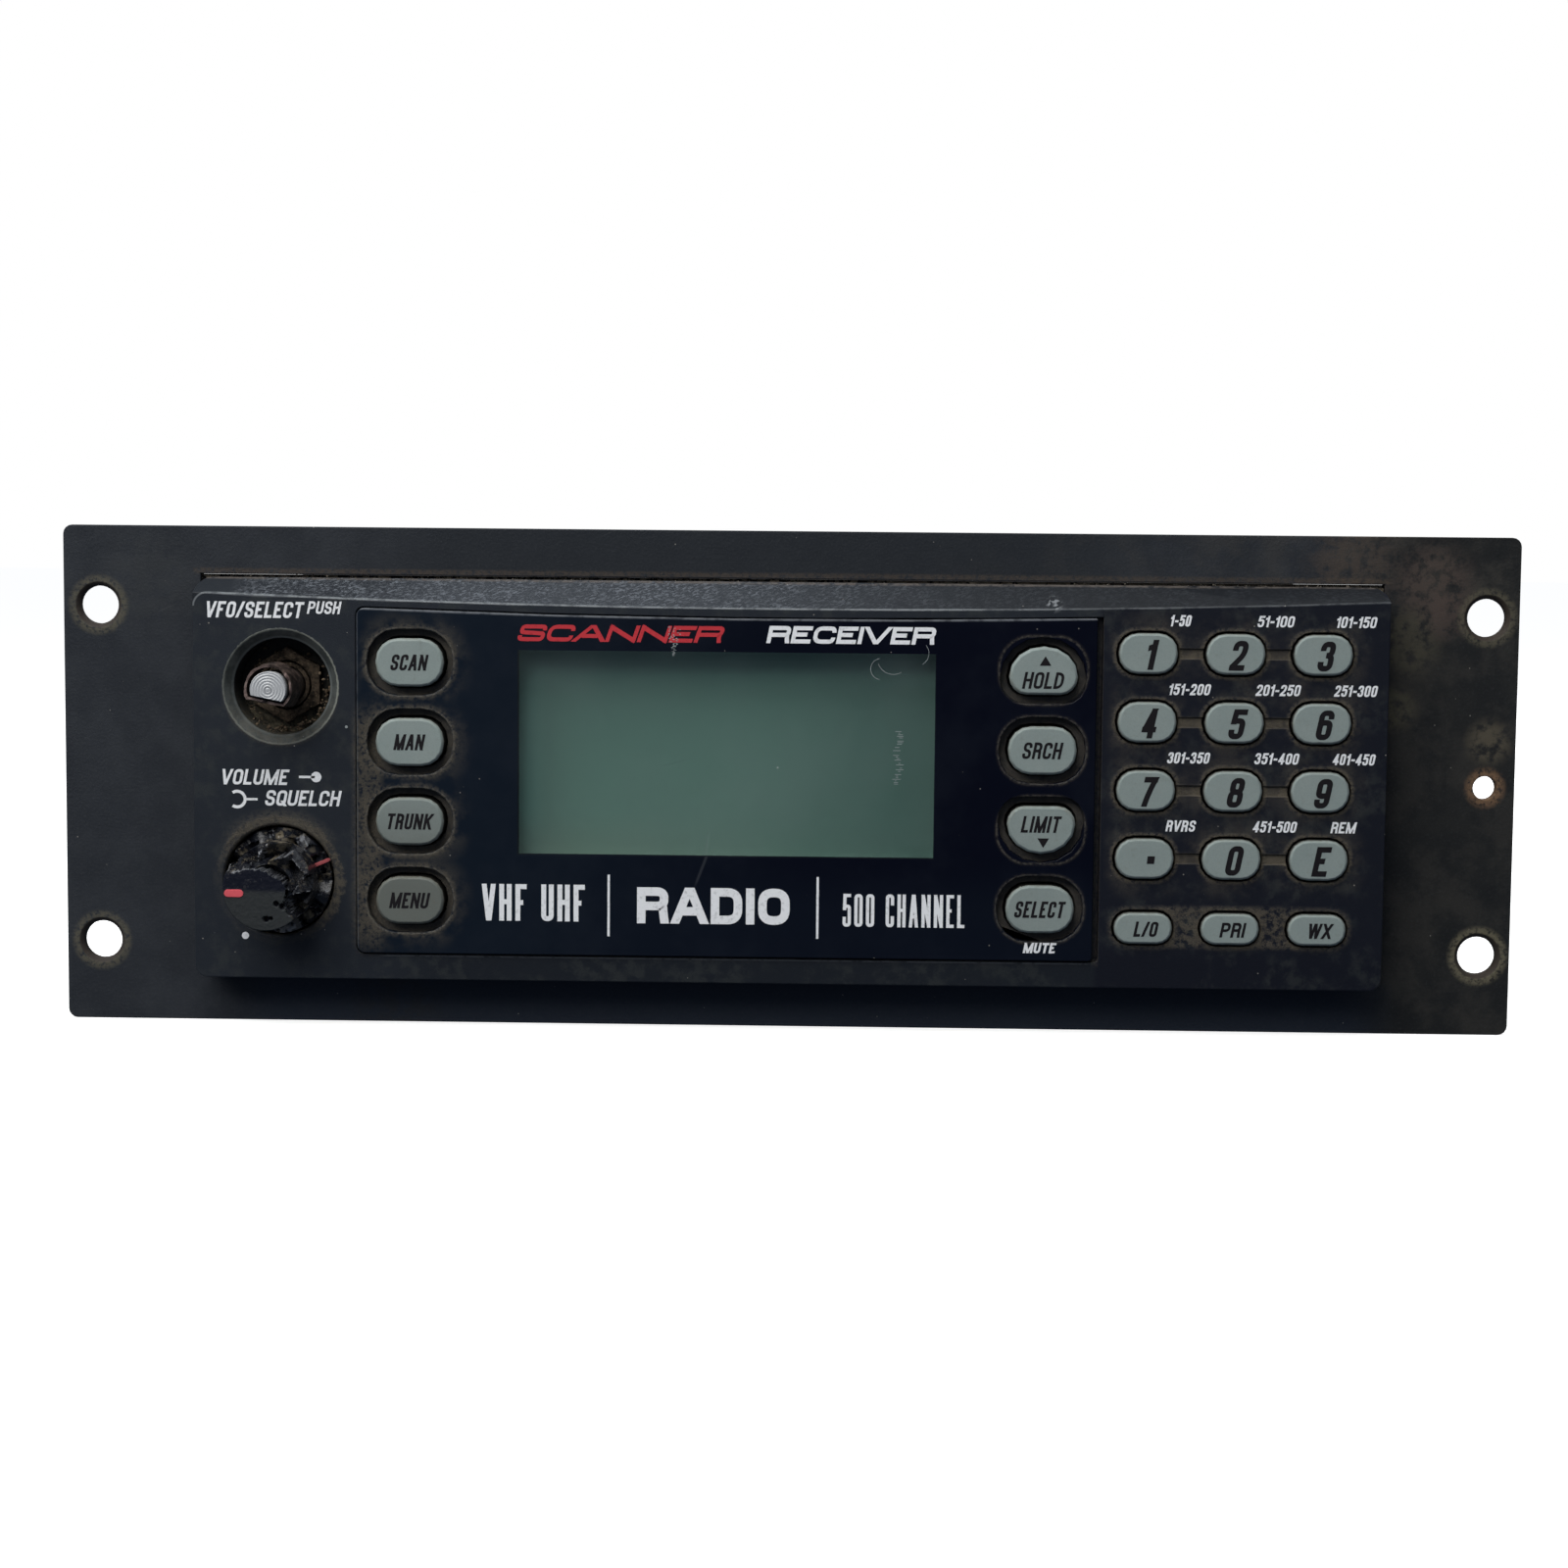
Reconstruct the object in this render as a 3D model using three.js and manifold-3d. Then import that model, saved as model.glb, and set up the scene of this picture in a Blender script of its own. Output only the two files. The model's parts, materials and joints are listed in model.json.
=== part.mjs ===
// A scanner radio mounted in a bent steel console faceplate.
// Millimetres, +Z up, +X to the right of someone facing the radio; the front faces -Y.
// While the pieces are made, y = 0 is the front face of the faceplate and x = z = 0 is its centre.
import * as THREE from 'three';
import { mergeVertices } from 'three/addons/utils/BufferGeometryUtils.js';
import Module from 'manifold-3d';

const wasm = await Module();
wasm.setup();

// ---------------------------------------------------------------- driving dimensions

const PLATE = { width: 222.25, height: 76.2, thickness: 2, cornerRadius: 1.4 };
const MOUNTING_HOLES = {
  x: 0.25, spacingX: 212, spacingZ: 51.8, radius: 2.9, sinkRadius: 3.5, sinkDepth: 0.7,
};
const LOCATING_HOLE = { x: 106.6, z: 0, radius: 1.8 };
const OPENING = { x: 0.3, width: 180.6, height: 61.6 };
const EAR = { height: 54, reach: 60, holeRadius: 2.3 };
const SIDE_SCREWS = { nearY: 32, farY: 50, headRadius: 4, headHeight: 2.4, shankRadius: 1.9, reach: 14 };

const BEZEL = {
  x: 0.3, width: 179.8, height: 60.7,
  front: -7.5, back: 18, wall: 2.2, face: 3.5, cornerRadius: 1.8,
};
const BEVEL = { middleZ: 26.35, rise: 1.8, back: -2.5 };
const LENS = {
  left: -64.8, right: 46.5, bottom: -26.3, middleTop: 24.9, topRise: 1.1,
  front: -8, back: -6.25, cornerRadius: 1.2,
};
const POCKET = { floor: -6.1, gap: 0.15, rightGap: 0.9 };
const WINDOW = { x: -9, z: 4.45, width: 62.8, height: 30.9 };

const KEY = { clearance: 0.3, travel: 1, edge: 0.35, flangeFront: -3.8, flangeBack: -2.8, stemBack: 4.9 };
const SIDE_KEY = { width: 10.3, height: 7.25, front: -8.5, moat: 1.35 };
const DIGIT_KEY = { width: 8.85, height: 6.15, front: -8.3 };
const FUNCTION_KEY = { width: 8.8, height: 4.8, front: -8.3 };
const LEFT_KEYS = { x: -56.7, topZ: 17.87, pitch: 12 };
const RIGHT_KEYS = { x: 38.5, topZ: 17.6, pitch: 12 };
const KEYPAD = {
  leftX: 54.1, pitchX: 13.05, topZ: 20.3, pitchZ: 10.28, lastZ: -21.1,
  channelHeight: 1.5, channelDepth: 0.4,
};

const WELL_FLOOR = { front: -0.5, back: 1.5 };
const ENCODER = {
  x: -76.35, z: 14, wellRadius: 7.3, rimRadius: 8.72, bushRadius: 3.5, shaftRadius: 2.7, tip: -17,
};
const ENCODER_HUB = { radius: 3.5, boreRadius: 3.05, flat: 2.05, boreFlat: 1.65, front: -16.3, back: -9.6 };
const POT = { x: -76.7, z: -15.4, wellRadius: 8.35, rimRadius: 8.7, bushRadius: 4.5, shaftRadius: 3 };
const SQUELCH_KNOB = { radius: 8, front: -8, back: -3, lobes: 12 };
const VOLUME_KNOB = { radius: 6.25, front: -18.5, back: -8.6, hubRadius: 3.2, hubFront: -15.2 };
const FLAT_ANGLE = -101.3;

const BOARD = { thickness: 1.6, frontY: 8.4, mainZ: -20 };
const CABINET = { sheet: 1.2, width: 175.4, height: 59.6, front: 18.4, back: 150 };
const LID = { width: 178.4, flangeBottom: -6 };

const SIDE_MARGIN = 0.3;
const REARMOST = 161;

// ---------------------------------------------------------------- finishes

const finish = (color, roughness, metalness = 0, opacity = 1) => ({ color, roughness, metalness, opacity });
const FINISHES = {
  blackSteel: finish(0x17181a, 0.6, 0.2),
  darkPlastic: finish(0x14171d, 0.5),
  lens: finish(0x0b0e1a, 0.15, 0, 0.6),
  lcdGlass: finish(0x5a7268, 0.2),
  clearPlastic: finish(0xd8dcd4, 0.4),
  paleKey: finish(0x8b948f, 0.55),
  rubber: finish(0x2a2c2c, 0.85),
  circuit: finish(0x1f4a32, 0.6),
  zinc: finish(0x9a9da0, 0.35, 0.9),
  brightMetal: finish(0xb9babb, 0.3, 0.9),
  blackKnob: finish(0x0c0c0e, 0.3),
  hubPlastic: finish(0x3a2a24, 0.7),
  socketPlastic: finish(0x101011, 0.55),
  ribbon: finish(0x8d8f93, 0.7),
  paper: finish(0x2c2b2a, 0.9),
};

// ---------------------------------------------------------------- making and combining solids

const ALONG_Y = new THREE.Matrix4().makeBasis(
  new THREE.Vector3(1, 0, 0), new THREE.Vector3(0, 0, 1), new THREE.Vector3(0, -1, 0));
const ALONG_X = new THREE.Matrix4().makeBasis(
  new THREE.Vector3(0, 1, 0), new THREE.Vector3(0, 0, 1), new THREE.Vector3(1, 0, 0));

function toSolid(geometry) {
  const bare = geometry.clone();
  bare.deleteAttribute('normal');
  bare.deleteAttribute('uv');
  const merged = mergeVertices(bare, 1e-4);
  return new wasm.Manifold(new wasm.Mesh({
    numProp: 3,
    vertProperties: new Float32Array(merged.attributes.position.array),
    triVerts: new Uint32Array(merged.index.array),
  }));
}

function toGeometry(solid) {
  const mesh = solid.getMesh();
  const geometry = new THREE.BufferGeometry();
  geometry.setAttribute('position', new THREE.BufferAttribute(new Float32Array(mesh.vertProperties), 3));
  geometry.setIndex(new THREE.BufferAttribute(new Uint32Array(mesh.triVerts), 1));
  geometry.computeVertexNormals();
  return geometry;
}

const join = (...geometries) => toGeometry(geometries.map(toSolid).reduce((sum, next) => sum.add(next)));

function cut(base, ...tools) {
  return toGeometry(tools.map(toSolid).reduce((rest, tool) => rest.subtract(tool), toSolid(base)));
}

// An outline drawn in (x, z), made solid from its front y to its back y.
function slab(shape, front, back, curveSegments = 2, edge = 0) {
  const geometry = new THREE.ExtrudeGeometry(shape, {
    depth: back - front - 2 * edge,
    bevelEnabled: edge > 0,
    bevelThickness: edge,
    bevelSize: edge,
    bevelOffset: -edge,
    bevelSegments: 1,
    curveSegments,
  });
  return geometry.applyMatrix4(ALONG_Y).translate(0, back - edge, 0);
}

// An outline drawn in (y, z), made solid from one x to another.
function bar(shape, fromX, toX, steps = 1) {
  const geometry = new THREE.ExtrudeGeometry(shape, { depth: toX - fromX, steps, bevelEnabled: false });
  return geometry.applyMatrix4(ALONG_X).translate(fromX, 0, 0);
}

// A box given by its lowest and highest corners.
function box([x0, y0, z0], [x1, y1, z1]) {
  return new THREE.BoxGeometry(x1 - x0, y1 - y0, z1 - z0).translate((x0 + x1) / 2, (y0 + y1) / 2, (z0 + z1) / 2);
}

// A round rod along Y at (x, z), with a cone when the two radii differ.
function rod(x, z, radius, front, back, segments = 20, backRadius = radius) {
  const geometry = new THREE.CylinderGeometry(backRadius, radius, back - front, segments);
  return geometry.translate(x, (front + back) / 2, z);
}

// The cutter that widens a round hole to a cone where it opens on the front y = face.
function sink(x, z, holeRadius, faceRadius, face, depth, segments) {
  const slope = (faceRadius - holeRadius) / depth;
  return rod(x, z, faceRadius + slope, face - 1, face + depth, segments, holeRadius);
}

// A round rod along X at (y, z).
function crossRod(y, z, radius, fromX, toX, segments = 16) {
  const geometry = new THREE.CylinderGeometry(radius, radius, Math.abs(toX - fromX), segments);
  return geometry.rotateZ(Math.PI / 2).translate((fromX + toX) / 2, y, z);
}

// ---------------------------------------------------------------- outlines

function polygon(points) {
  return new THREE.Shape(points.map(([u, v]) => new THREE.Vector2(u, v)));
}

function roundedRectangle(width, height, radius, x = 0, z = 0) {
  const [right, top] = [width / 2 - radius, height / 2 - radius];
  const shape = new THREE.Shape();
  shape.absarc(x + right, z + top, radius, 0, Math.PI / 2);
  shape.absarc(x - right, z + top, radius, Math.PI / 2, Math.PI);
  shape.absarc(x - right, z - top, radius, Math.PI, 1.5 * Math.PI);
  shape.absarc(x + right, z - top, radius, 1.5 * Math.PI, 2 * Math.PI);
  shape.closePath();
  return shape;
}

// A key with a flat edge below and a domed edge above, or the other way up when turn is -1.
function domedOutline(width, height, x, z, turn) {
  const half = width / 2;
  const shoulder = z - turn * 0.125 * height;
  const [domeHeight, footHeight] = [0.625 * height, 0.375 * height];
  const footRun = 0.25 * width;
  const clockwise = turn < 0;
  const shape = new THREE.Shape();
  shape.absellipse(x, shoulder, half, domeHeight, 0, turn * 0.5 * Math.PI, clockwise);
  shape.absellipse(x, shoulder, half, domeHeight, turn * 0.5 * Math.PI, turn * Math.PI, clockwise);
  shape.absellipse(x - half + footRun, shoulder, footRun, footHeight, Math.PI, turn * 1.5 * Math.PI, clockwise);
  shape.absellipse(x + half - footRun, shoulder, footRun, footHeight, turn * 1.5 * Math.PI, turn * 2 * Math.PI,
    clockwise);
  shape.closePath();
  return shape;
}

// The outline of the glossy panel: its upper edge bows down in the middle, like the bevel above it.
function lensOutline(grow, growRight) {
  const [left, right] = [LENS.left - grow, LENS.right + growRight];
  const bottom = LENS.bottom - grow;
  const radius = LENS.cornerRadius;
  const top = (x) => LENS.middleTop + grow + LENS.topRise * (x / LENS.left) ** 2;
  const shape = new THREE.Shape();
  shape.absarc(left + radius, bottom + radius, radius, Math.PI, 1.5 * Math.PI);
  shape.absarc(right - radius / 2, bottom + radius / 2, radius / 2, 1.5 * Math.PI, 2 * Math.PI);
  shape.lineTo(right, top(right));
  const spans = 8;
  for (let i = 1; i < spans; i += 1) {
    const x = right + (left + radius - right) * (i / spans);
    shape.lineTo(x, top(x));
  }
  shape.absarc(left + radius, top(left) - radius, radius, Math.PI / 2, Math.PI);
  shape.closePath();
  return shape;
}

// ---------------------------------------------------------------- the keys: names, places, outlines

function sideKeys(names, column, domes) {
  return names.map((name, i) => ({
    name,
    x: column.x,
    z: column.topZ - i * column.pitch,
    size: SIDE_KEY,
    dome: domes[i],
    onLens: true,
  }));
}

function keypadKeys() {
  const rows = [
    ['digit_1_key', 'digit_2_key', 'digit_3_key'],
    ['digit_4_key', 'digit_5_key', 'digit_6_key'],
    ['digit_7_key', 'digit_8_key', 'digit_9_key'],
    ['point_key', 'digit_0_key', 'enter_key'],
    ['lockout_key', 'priority_key', 'weather_key'],
  ];
  return rows.flatMap((row, r) => row.map((name, c) => ({
    name,
    x: KEYPAD.leftX + c * KEYPAD.pitchX,
    z: r < 4 ? KEYPAD.topZ - r * KEYPAD.pitchZ : KEYPAD.lastZ,
    size: r < 4 ? DIGIT_KEY : FUNCTION_KEY,
    dome: 0,
    onLens: false,
  })));
}

const LEFT_COLUMN = sideKeys(['scan_key', 'manual_key', 'trunk_key', 'menu_key'], LEFT_KEYS, [0, 0, 0, 0]);
const RIGHT_COLUMN = sideKeys(['hold_key', 'search_key', 'limit_key', 'select_key'], RIGHT_KEYS, [1, 0, -1, 0]);
const KEYS = [...LEFT_COLUMN, ...RIGHT_COLUMN, ...keypadKeys()];

function keyOutline(key, grow) {
  const [width, height] = [key.size.width + 2 * grow, key.size.height + 2 * grow];
  if (key.dome !== 0) {
    return domedOutline(width, height, key.x, key.z, key.dome);
  }
  return roundedRectangle(width, height, 0.47 * height, key.x, key.z);
}

// ---------------------------------------------------------------- faceplate and its screws

function faceplate() {
  const { thickness } = PLATE;
  const [halfWidth, halfHeight] = [OPENING.width / 2, OPENING.height / 2];
  const outline = roundedRectangle(PLATE.width, PLATE.height, PLATE.cornerRadius);
  const holes = [rod(LOCATING_HOLE.x, LOCATING_HOLE.z, LOCATING_HOLE.radius, -1, thickness + 1)];
  const opening = box([OPENING.x - halfWidth, -1, -halfHeight], [OPENING.x + halfWidth, thickness + 1, halfHeight]);
  const cuts = [opening];
  const ears = [];
  for (const side of [-1, 1]) {
    const inner = OPENING.x + side * halfWidth;
    const outer = inner + side * thickness;
    const [low, high] = [Math.min(inner, outer), Math.max(inner, outer)];
    ears.push(box([low, 0.5 * thickness, -EAR.height / 2], [high, EAR.reach, EAR.height / 2]));
    cuts.push(...[SIDE_SCREWS.nearY, SIDE_SCREWS.farY].map((y) =>
      crossRod(y, 0, EAR.holeRadius, inner - side, outer + side)));
    for (const end of [-1, 1]) {
      const { radius, sinkRadius, sinkDepth } = MOUNTING_HOLES;
      const hole = [MOUNTING_HOLES.x + side * MOUNTING_HOLES.spacingX / 2, end * MOUNTING_HOLES.spacingZ / 2];
      holes.push(rod(...hole, radius, -1, thickness + 1, 32));
      holes.push(sink(...hole, radius, sinkRadius, 0, sinkDepth, 32));
    }
  }
  return cut(join(slab(outline, 0, thickness), ...ears), ...holes, ...cuts);
}

function sideScrew(side, y) {
  const seat = OPENING.x + side * (OPENING.width / 2 + PLATE.thickness + 1);
  const shank = crossRod(y, 0, SIDE_SCREWS.shankRadius, seat, seat - side * SIDE_SCREWS.reach);
  const head = crossRod(y, 0, SIDE_SCREWS.headRadius, seat, seat + side * SIDE_SCREWS.headHeight, 20);
  const outside = seat + side * SIDE_SCREWS.headHeight;
  const slotDepth = 1.2;
  const [low, high] = [outside - slotDepth, outside + slotDepth];
  const slot = box([low, y - 0.5, -2.6], [high, y + 0.5, 2.6]);
  const crossSlot = box([low, y - 2.6, -0.5], [high, y + 2.6, 0.5]);
  return cut(join(head, shank), slot, crossSlot);
}

// ---------------------------------------------------------------- front housing

// The waste above the sloped band along the top: its front lower edge bows down in the middle.
function bevelWaste() {
  const { front, height, width } = BEZEL;
  const top = height / 2;
  const run = BEVEL.back - front;
  const slope = (top - BEVEL.middleZ) / run;
  const overrun = 2;
  const section = polygon([
    [front - overrun, BEVEL.middleZ - overrun * slope],
    [BEVEL.back, top],
    [BEVEL.back, top + overrun],
    [front - overrun, top + overrun],
  ]);
  const waste = bar(section, -width / 2 - overrun, width / 2 + overrun, 10);
  const position = waste.attributes.position;
  for (let i = 0; i < position.count; i += 1) {
    if (position.getY(i) < front && position.getZ(i) < top) {
      const across = position.getX(i) / (width / 2);
      const lift = BEVEL.rise * (1 + overrun / run) * across ** 2;
      position.setZ(i, position.getZ(i) + lift);
    }
  }
  return waste;
}

function frontBezel() {
  const { width, height, front, back, wall, face, cornerRadius } = BEZEL;
  const inside = front + face;
  const shell = cut(
    slab(roundedRectangle(width, height, cornerRadius, BEZEL.x), front, back),
    slab(roundedRectangle(width - 2 * wall, height - 2 * wall, 1, BEZEL.x), inside, back + 1));
  const cups = [ENCODER, POT].map((control) =>
    rod(control.x, control.z, control.rimRadius + 1, front, WELL_FLOOR.back, 32));
  const waste = [
    bevelWaste(),
    slab(lensOutline(POCKET.gap, POCKET.rightGap), front - 1, POCKET.floor),
    box([WINDOW.x - WINDOW.width / 2 - 0.8, front - 1, WINDOW.z - WINDOW.height / 2 - 0.8],
      [WINDOW.x + WINDOW.width / 2 + 0.8, inside + 1, WINDOW.z + WINDOW.height / 2 + 0.8]),
  ];
  for (const control of [ENCODER, POT]) {
    const { x, z, wellRadius, rimRadius, bushRadius } = control;
    waste.push(rod(x, z, wellRadius, front - 1, WELL_FLOOR.front, 36));
    waste.push(sink(x, z, wellRadius, rimRadius, front, rimRadius - wellRadius, 36));
    waste.push(rod(x, z, bushRadius + SIDE_MARGIN, WELL_FLOOR.front - 1, WELL_FLOOR.back + 1));
  }
  for (const key of KEYS) {
    waste.push(slab(keyOutline(key, KEY.clearance), front - 1, inside + 1));
  }
  for (let row = 0; row < 4; row += 1) {
    const z = KEYPAD.topZ - row * KEYPAD.pitchZ;
    const half = KEYPAD.channelHeight / 2;
    waste.push(box([KEYPAD.leftX, front - 1, z - half],
      [KEYPAD.leftX + 2 * KEYPAD.pitchX, front + KEYPAD.channelDepth, z + half]));
  }
  return cut(join(shell, ...cups), ...waste);
}

function displayLens() {
  const holes = [...LEFT_COLUMN, ...RIGHT_COLUMN].map((key) =>
    slab(keyOutline(key, SIDE_KEY.moat), LENS.front - 1, LENS.back + 1));
  return cut(slab(lensOutline(0, 0), LENS.front, LENS.back), ...holes);
}

function lcdFrame() {
  const { x, z, width, height } = WINDOW;
  const outer = slab(roundedRectangle(width + 9, height + 9, 1, x, z), -3.9, 4);
  const mouth = slab(roundedRectangle(width + 1, height + 1, 0.4, x, z), -5, 0);
  const seat = slab(roundedRectangle(width + 5, height + 5, 0.4, x, z), -2.9, 5);
  return cut(outer, mouth, seat);
}

function lcdSheet(front, back) {
  return slab(roundedRectangle(WINDOW.width + 4.4, WINDOW.height + 4.4, 0.3, WINDOW.x, WINDOW.z), front, back, 1);
}

function keyCap(key) {
  const { flangeFront, flangeBack, stemBack, edge } = KEY;
  const [halfFlange, halfRise] = [key.size.width / 2 + 0.9, key.size.height / 2 + 0.9];
  const cap = slab(keyOutline(key, 0), key.size.front, flangeBack, 2, edge);
  const flange = box([key.x - halfFlange, flangeFront, key.z - halfRise],
    [key.x + halfFlange, flangeBack, key.z + halfRise]);
  const stem = box([key.x - 2, flangeBack - 0.5, key.z - 1.4], [key.x + 2, stemBack, key.z + 1.4]);
  return join(cap, flange, stem);
}

function keyMat(left, right) {
  const back = BOARD.frontY - 0.2;
  const outline = roundedRectangle(right - left, 51, 2, (left + right) / 2, -0.5);
  return slab(outline, KEY.stemBack + KEY.travel + 0.4, back);
}

function frontBoard() {
  const { frontY, thickness } = BOARD;
  const board = slab(roundedRectangle(172.6, 54, 1), frontY, frontY + thickness);
  return cut(board, rod(-84, 25, 1.2, frontY - 1, frontY + 3, 12), rod(84, -25, 1.2, frontY - 1, frontY + 3, 12));
}

// ---------------------------------------------------------------- rotary controls

// The part of a round rod that is left when its flat is ground off, the flat facing down and a little left.
function flattedRod(control, radius, flatDistance, front, back, segments = 24) {
  const round = rod(0, 0, radius, front, back, segments);
  const ground = box([flatDistance, front - 1, -radius - 1], [radius + 2, back + 1, radius + 1]);
  const turned = ground.rotateY(THREE.MathUtils.degToRad(-FLAT_ANGLE));
  return cut(round, turned).translate(control.x, 0, control.z);
}

function hexNut(control, acrossFlats) {
  const { x, z, bushRadius } = control;
  const [front, back] = [WELL_FLOOR.front - 2, WELL_FLOOR.front - 0.1];
  return cut(
    rod(x, z, acrossFlats / Math.sqrt(3), front, back, 6),
    rod(x, z, bushRadius + SIDE_MARGIN, front - 1, back + 1));
}

function controlBody(control, size, boreBack) {
  const { x, z, bushRadius, shaftRadius } = control;
  const front = WELL_FLOOR.back + 0.1;
  const can = box([x - size / 2, front, z - size / 2], [x + size / 2, BOARD.frontY - 0.2, z + size / 2]);
  const bush = rod(x, z, bushRadius, -2.6, front + 0.5);
  return cut(join(can, bush), rod(x, z, shaftRadius + 0.25, -4, boreBack));
}

function encoderShaft() {
  const plain = rod(ENCODER.x, ENCODER.z, ENCODER.shaftRadius, -9.2, 3, 24);
  const flatted = flattedRod(ENCODER, ENCODER.shaftRadius, ENCODER.shaftRadius / 2, ENCODER.tip, -9);
  return join(plain, flatted);
}

function encoderHub() {
  const { radius, boreRadius, flat, boreFlat, front, back } = ENCODER_HUB;
  const outer = flattedRod(ENCODER, radius, flat, front, back);
  const inner = flattedRod(ENCODER, boreRadius, boreFlat, front - 1, back + 1);
  return cut(outer, inner);
}

function squelchShaft() {
  const { x, z, shaftRadius } = POT;
  return cut(rod(x, z, shaftRadius, -7.6, 5), rod(x, z, 2, -9, 6));
}

// A ring knob with shallow finger lobes round its front edge.
function squelchKnob() {
  const { radius, front, back, lobes } = SQUELCH_KNOB;
  const ring = rod(0, 0, radius, front, back, 36);
  const bore = rod(0, 0, POT.shaftRadius + SIDE_MARGIN, front - 1, back + 1);
  const step = cut(rod(0, 0, radius + 1, front - 1, front + 1.2, 36), rod(0, 0, 6.9, front - 2, front + 3, 36));
  const scallops = [];
  for (let i = 0; i < lobes; i += 1) {
    const angle = (2 * Math.PI * (i + 0.5)) / lobes;
    const [x, z] = [(radius + 1.1) * Math.cos(angle), (radius + 1.1) * Math.sin(angle)];
    scallops.push(rod(x, z, 1.6, front - 1, front + 3, 8));
  }
  return cut(ring, bore, step, ...scallops).translate(POT.x, 0, POT.z);
}

// A cylinder knob whose upper right front has broken away down to its hub.
function volumeKnob() {
  const { radius, front, back, hubRadius, hubFront } = VOLUME_KNOB;
  const body = rod(0, 0, radius, front, back, 32);
  const bore = rod(0, 0, 2, -17, back + 1, 20);
  const missing = polygon([
    [-5.9, 2.7], [-0.95, 2.85], [1.2, 1.9], [3.4, -0.1], [3, -3], [4.6, -4.9], [9, -3], [8, 8], [-4, 9],
  ]);
  const lostFront = cut(slab(missing, front - 1, -12.6), rod(0, 0, hubRadius, hubFront, -11, 20));
  return cut(body, bore, lostFront).translate(POT.x, 0, POT.z);
}

// ---------------------------------------------------------------- cabinet

function sidesWithScrewHoles(geometry) {
  const reach = OPENING.width / 2;
  const holes = [SIDE_SCREWS.nearY, SIDE_SCREWS.farY].map((y) => crossRod(y, 0, EAR.holeRadius, -reach, reach));
  return cut(geometry, ...holes);
}

function chassisTray() {
  const { sheet, width, height, front, back } = CABINET;
  const [side, bottom, top] = [width / 2, -height / 2, height / 2 - 2 * sheet + 0.6];
  const outline = polygon([
    [-side, bottom], [side, bottom], [side, top], [side - sheet, top], [side - sheet, bottom + sheet],
    [sheet - side, bottom + sheet], [sheet - side, top], [-side, top],
  ]);
  return sidesWithScrewHoles(slab(outline, front, back));
}

function topCover() {
  const { sheet, height, front, back } = CABINET;
  const [side, top, bottom] = [LID.width / 2, height / 2, LID.flangeBottom];
  const outline = polygon([
    [-side, bottom], [sheet - side, bottom], [sheet - side, top - sheet], [side - sheet, top - sheet],
    [side - sheet, bottom], [side, bottom], [side, top], [-side, top],
  ]);
  const slots = [];
  for (let i = 0; i < 9; i += 1) {
    const x = SPEAKER.x + (i - 4) * 5.5;
    const half = Math.sqrt(26 ** 2 - (x - SPEAKER.x) ** 2);
    slots.push(box([x - 1.1, SPEAKER.y - half, top - 3], [x + 1.1, SPEAKER.y + half, top + 1]));
  }
  for (let i = 0; i < 6; i += 1) {
    const y = 96 + i * 7;
    slots.push(box([-side - 1, y, 10], [-side + 2, y + 2.4, 22]));
    slots.push(box([side - 2, y, 10], [side + 1, y + 2.4, 22]));
  }
  return sidesWithScrewHoles(cut(slab(outline, front, back), ...slots));
}

// ---------------------------------------------------------------- rear panel and its sockets

const SPEAKER = { x: -26, y: 84, radius: 33 };
const ANTENNA = { x: 62, z: 6 };
const POWER = { x: -64, z: -11.5 };
const EXTERNAL_SPEAKER = { x: -42, z: -11.5 };
const LINE_OUT = { x: -26, z: -11.5 };
const DATA_PORT = { x: 12, z: -10.5 };
const REAR_FACE = CABINET.back - 0.2;
const REAR_INSIDE = REAR_FACE - CABINET.sheet;

function rearPanel() {
  const { x, z } = DATA_PORT;
  const panel = slab(roundedRectangle(172.4, 55.8, 0.6, 0, -0.5), REAR_INSIDE, REAR_FACE);
  const holes = [
    [ANTENNA, 5], [POWER, 4.3], [EXTERNAL_SPEAKER, 3.3], [LINE_OUT, 3.3],
  ].map(([place, radius]) => rod(place.x, place.z, radius, REAR_INSIDE - 1, REAR_FACE + 1));
  const window = slab(dOutline(x, z, 18.6, 9.8), REAR_INSIDE - 1, REAR_FACE + 1);
  return cut(panel, ...holes, window);
}

// The outline of a D-shaped data plug: its lower edge is shorter.
function dOutline(x, z, width, height) {
  const [half, rise] = [width / 2, height / 2];
  return polygon([[x - half, z + rise], [x - half + 1.4, z - rise], [x + half - 1.4, z - rise], [x + half, z + rise]]);
}

function antennaSocket() {
  const { x, z } = ANTENNA;
  const barrel = join(
    rod(x, z, 4.7, REAR_INSIDE - 8, REARMOST),
    rod(x, z, 7.2, REAR_INSIDE - 3.2, REAR_INSIDE - 0.2, 6),
    box([x - 6.3, REAR_FACE + 0.2, z - 6.3], [x + 6.3, REAR_FACE + 1.8, z + 6.3]),
    box([x - 5.6, REARMOST - 4, z - 0.9], [x + 5.6, REARMOST - 2.2, z + 0.9]));
  const throat = cut(rod(x, z, 3.9, REARMOST - 7, REARMOST + 1), rod(x, z, 2.5, REARMOST - 8, REARMOST - 1.5));
  return cut(barrel, throat, rod(x, z, 0.7, REARMOST - 5, REARMOST + 1, 12));
}

function powerJack() {
  const { x, z } = POWER;
  const body = join(
    box([x - 4.5, REAR_INSIDE - 13, z - 6.5], [x + 4.5, REAR_INSIDE - 0.2, z + 4.8]),
    rod(x, z, 4, REAR_INSIDE - 1, REAR_FACE + 0.8));
  const barrel = rod(x, z, 2.9, REAR_FACE - 9, REAR_FACE + 2);
  const socket = cut(barrel, rod(x, z, 1, REAR_FACE - 10, REAR_FACE - 0.5, 16));
  return cut(body, socket);
}

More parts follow.
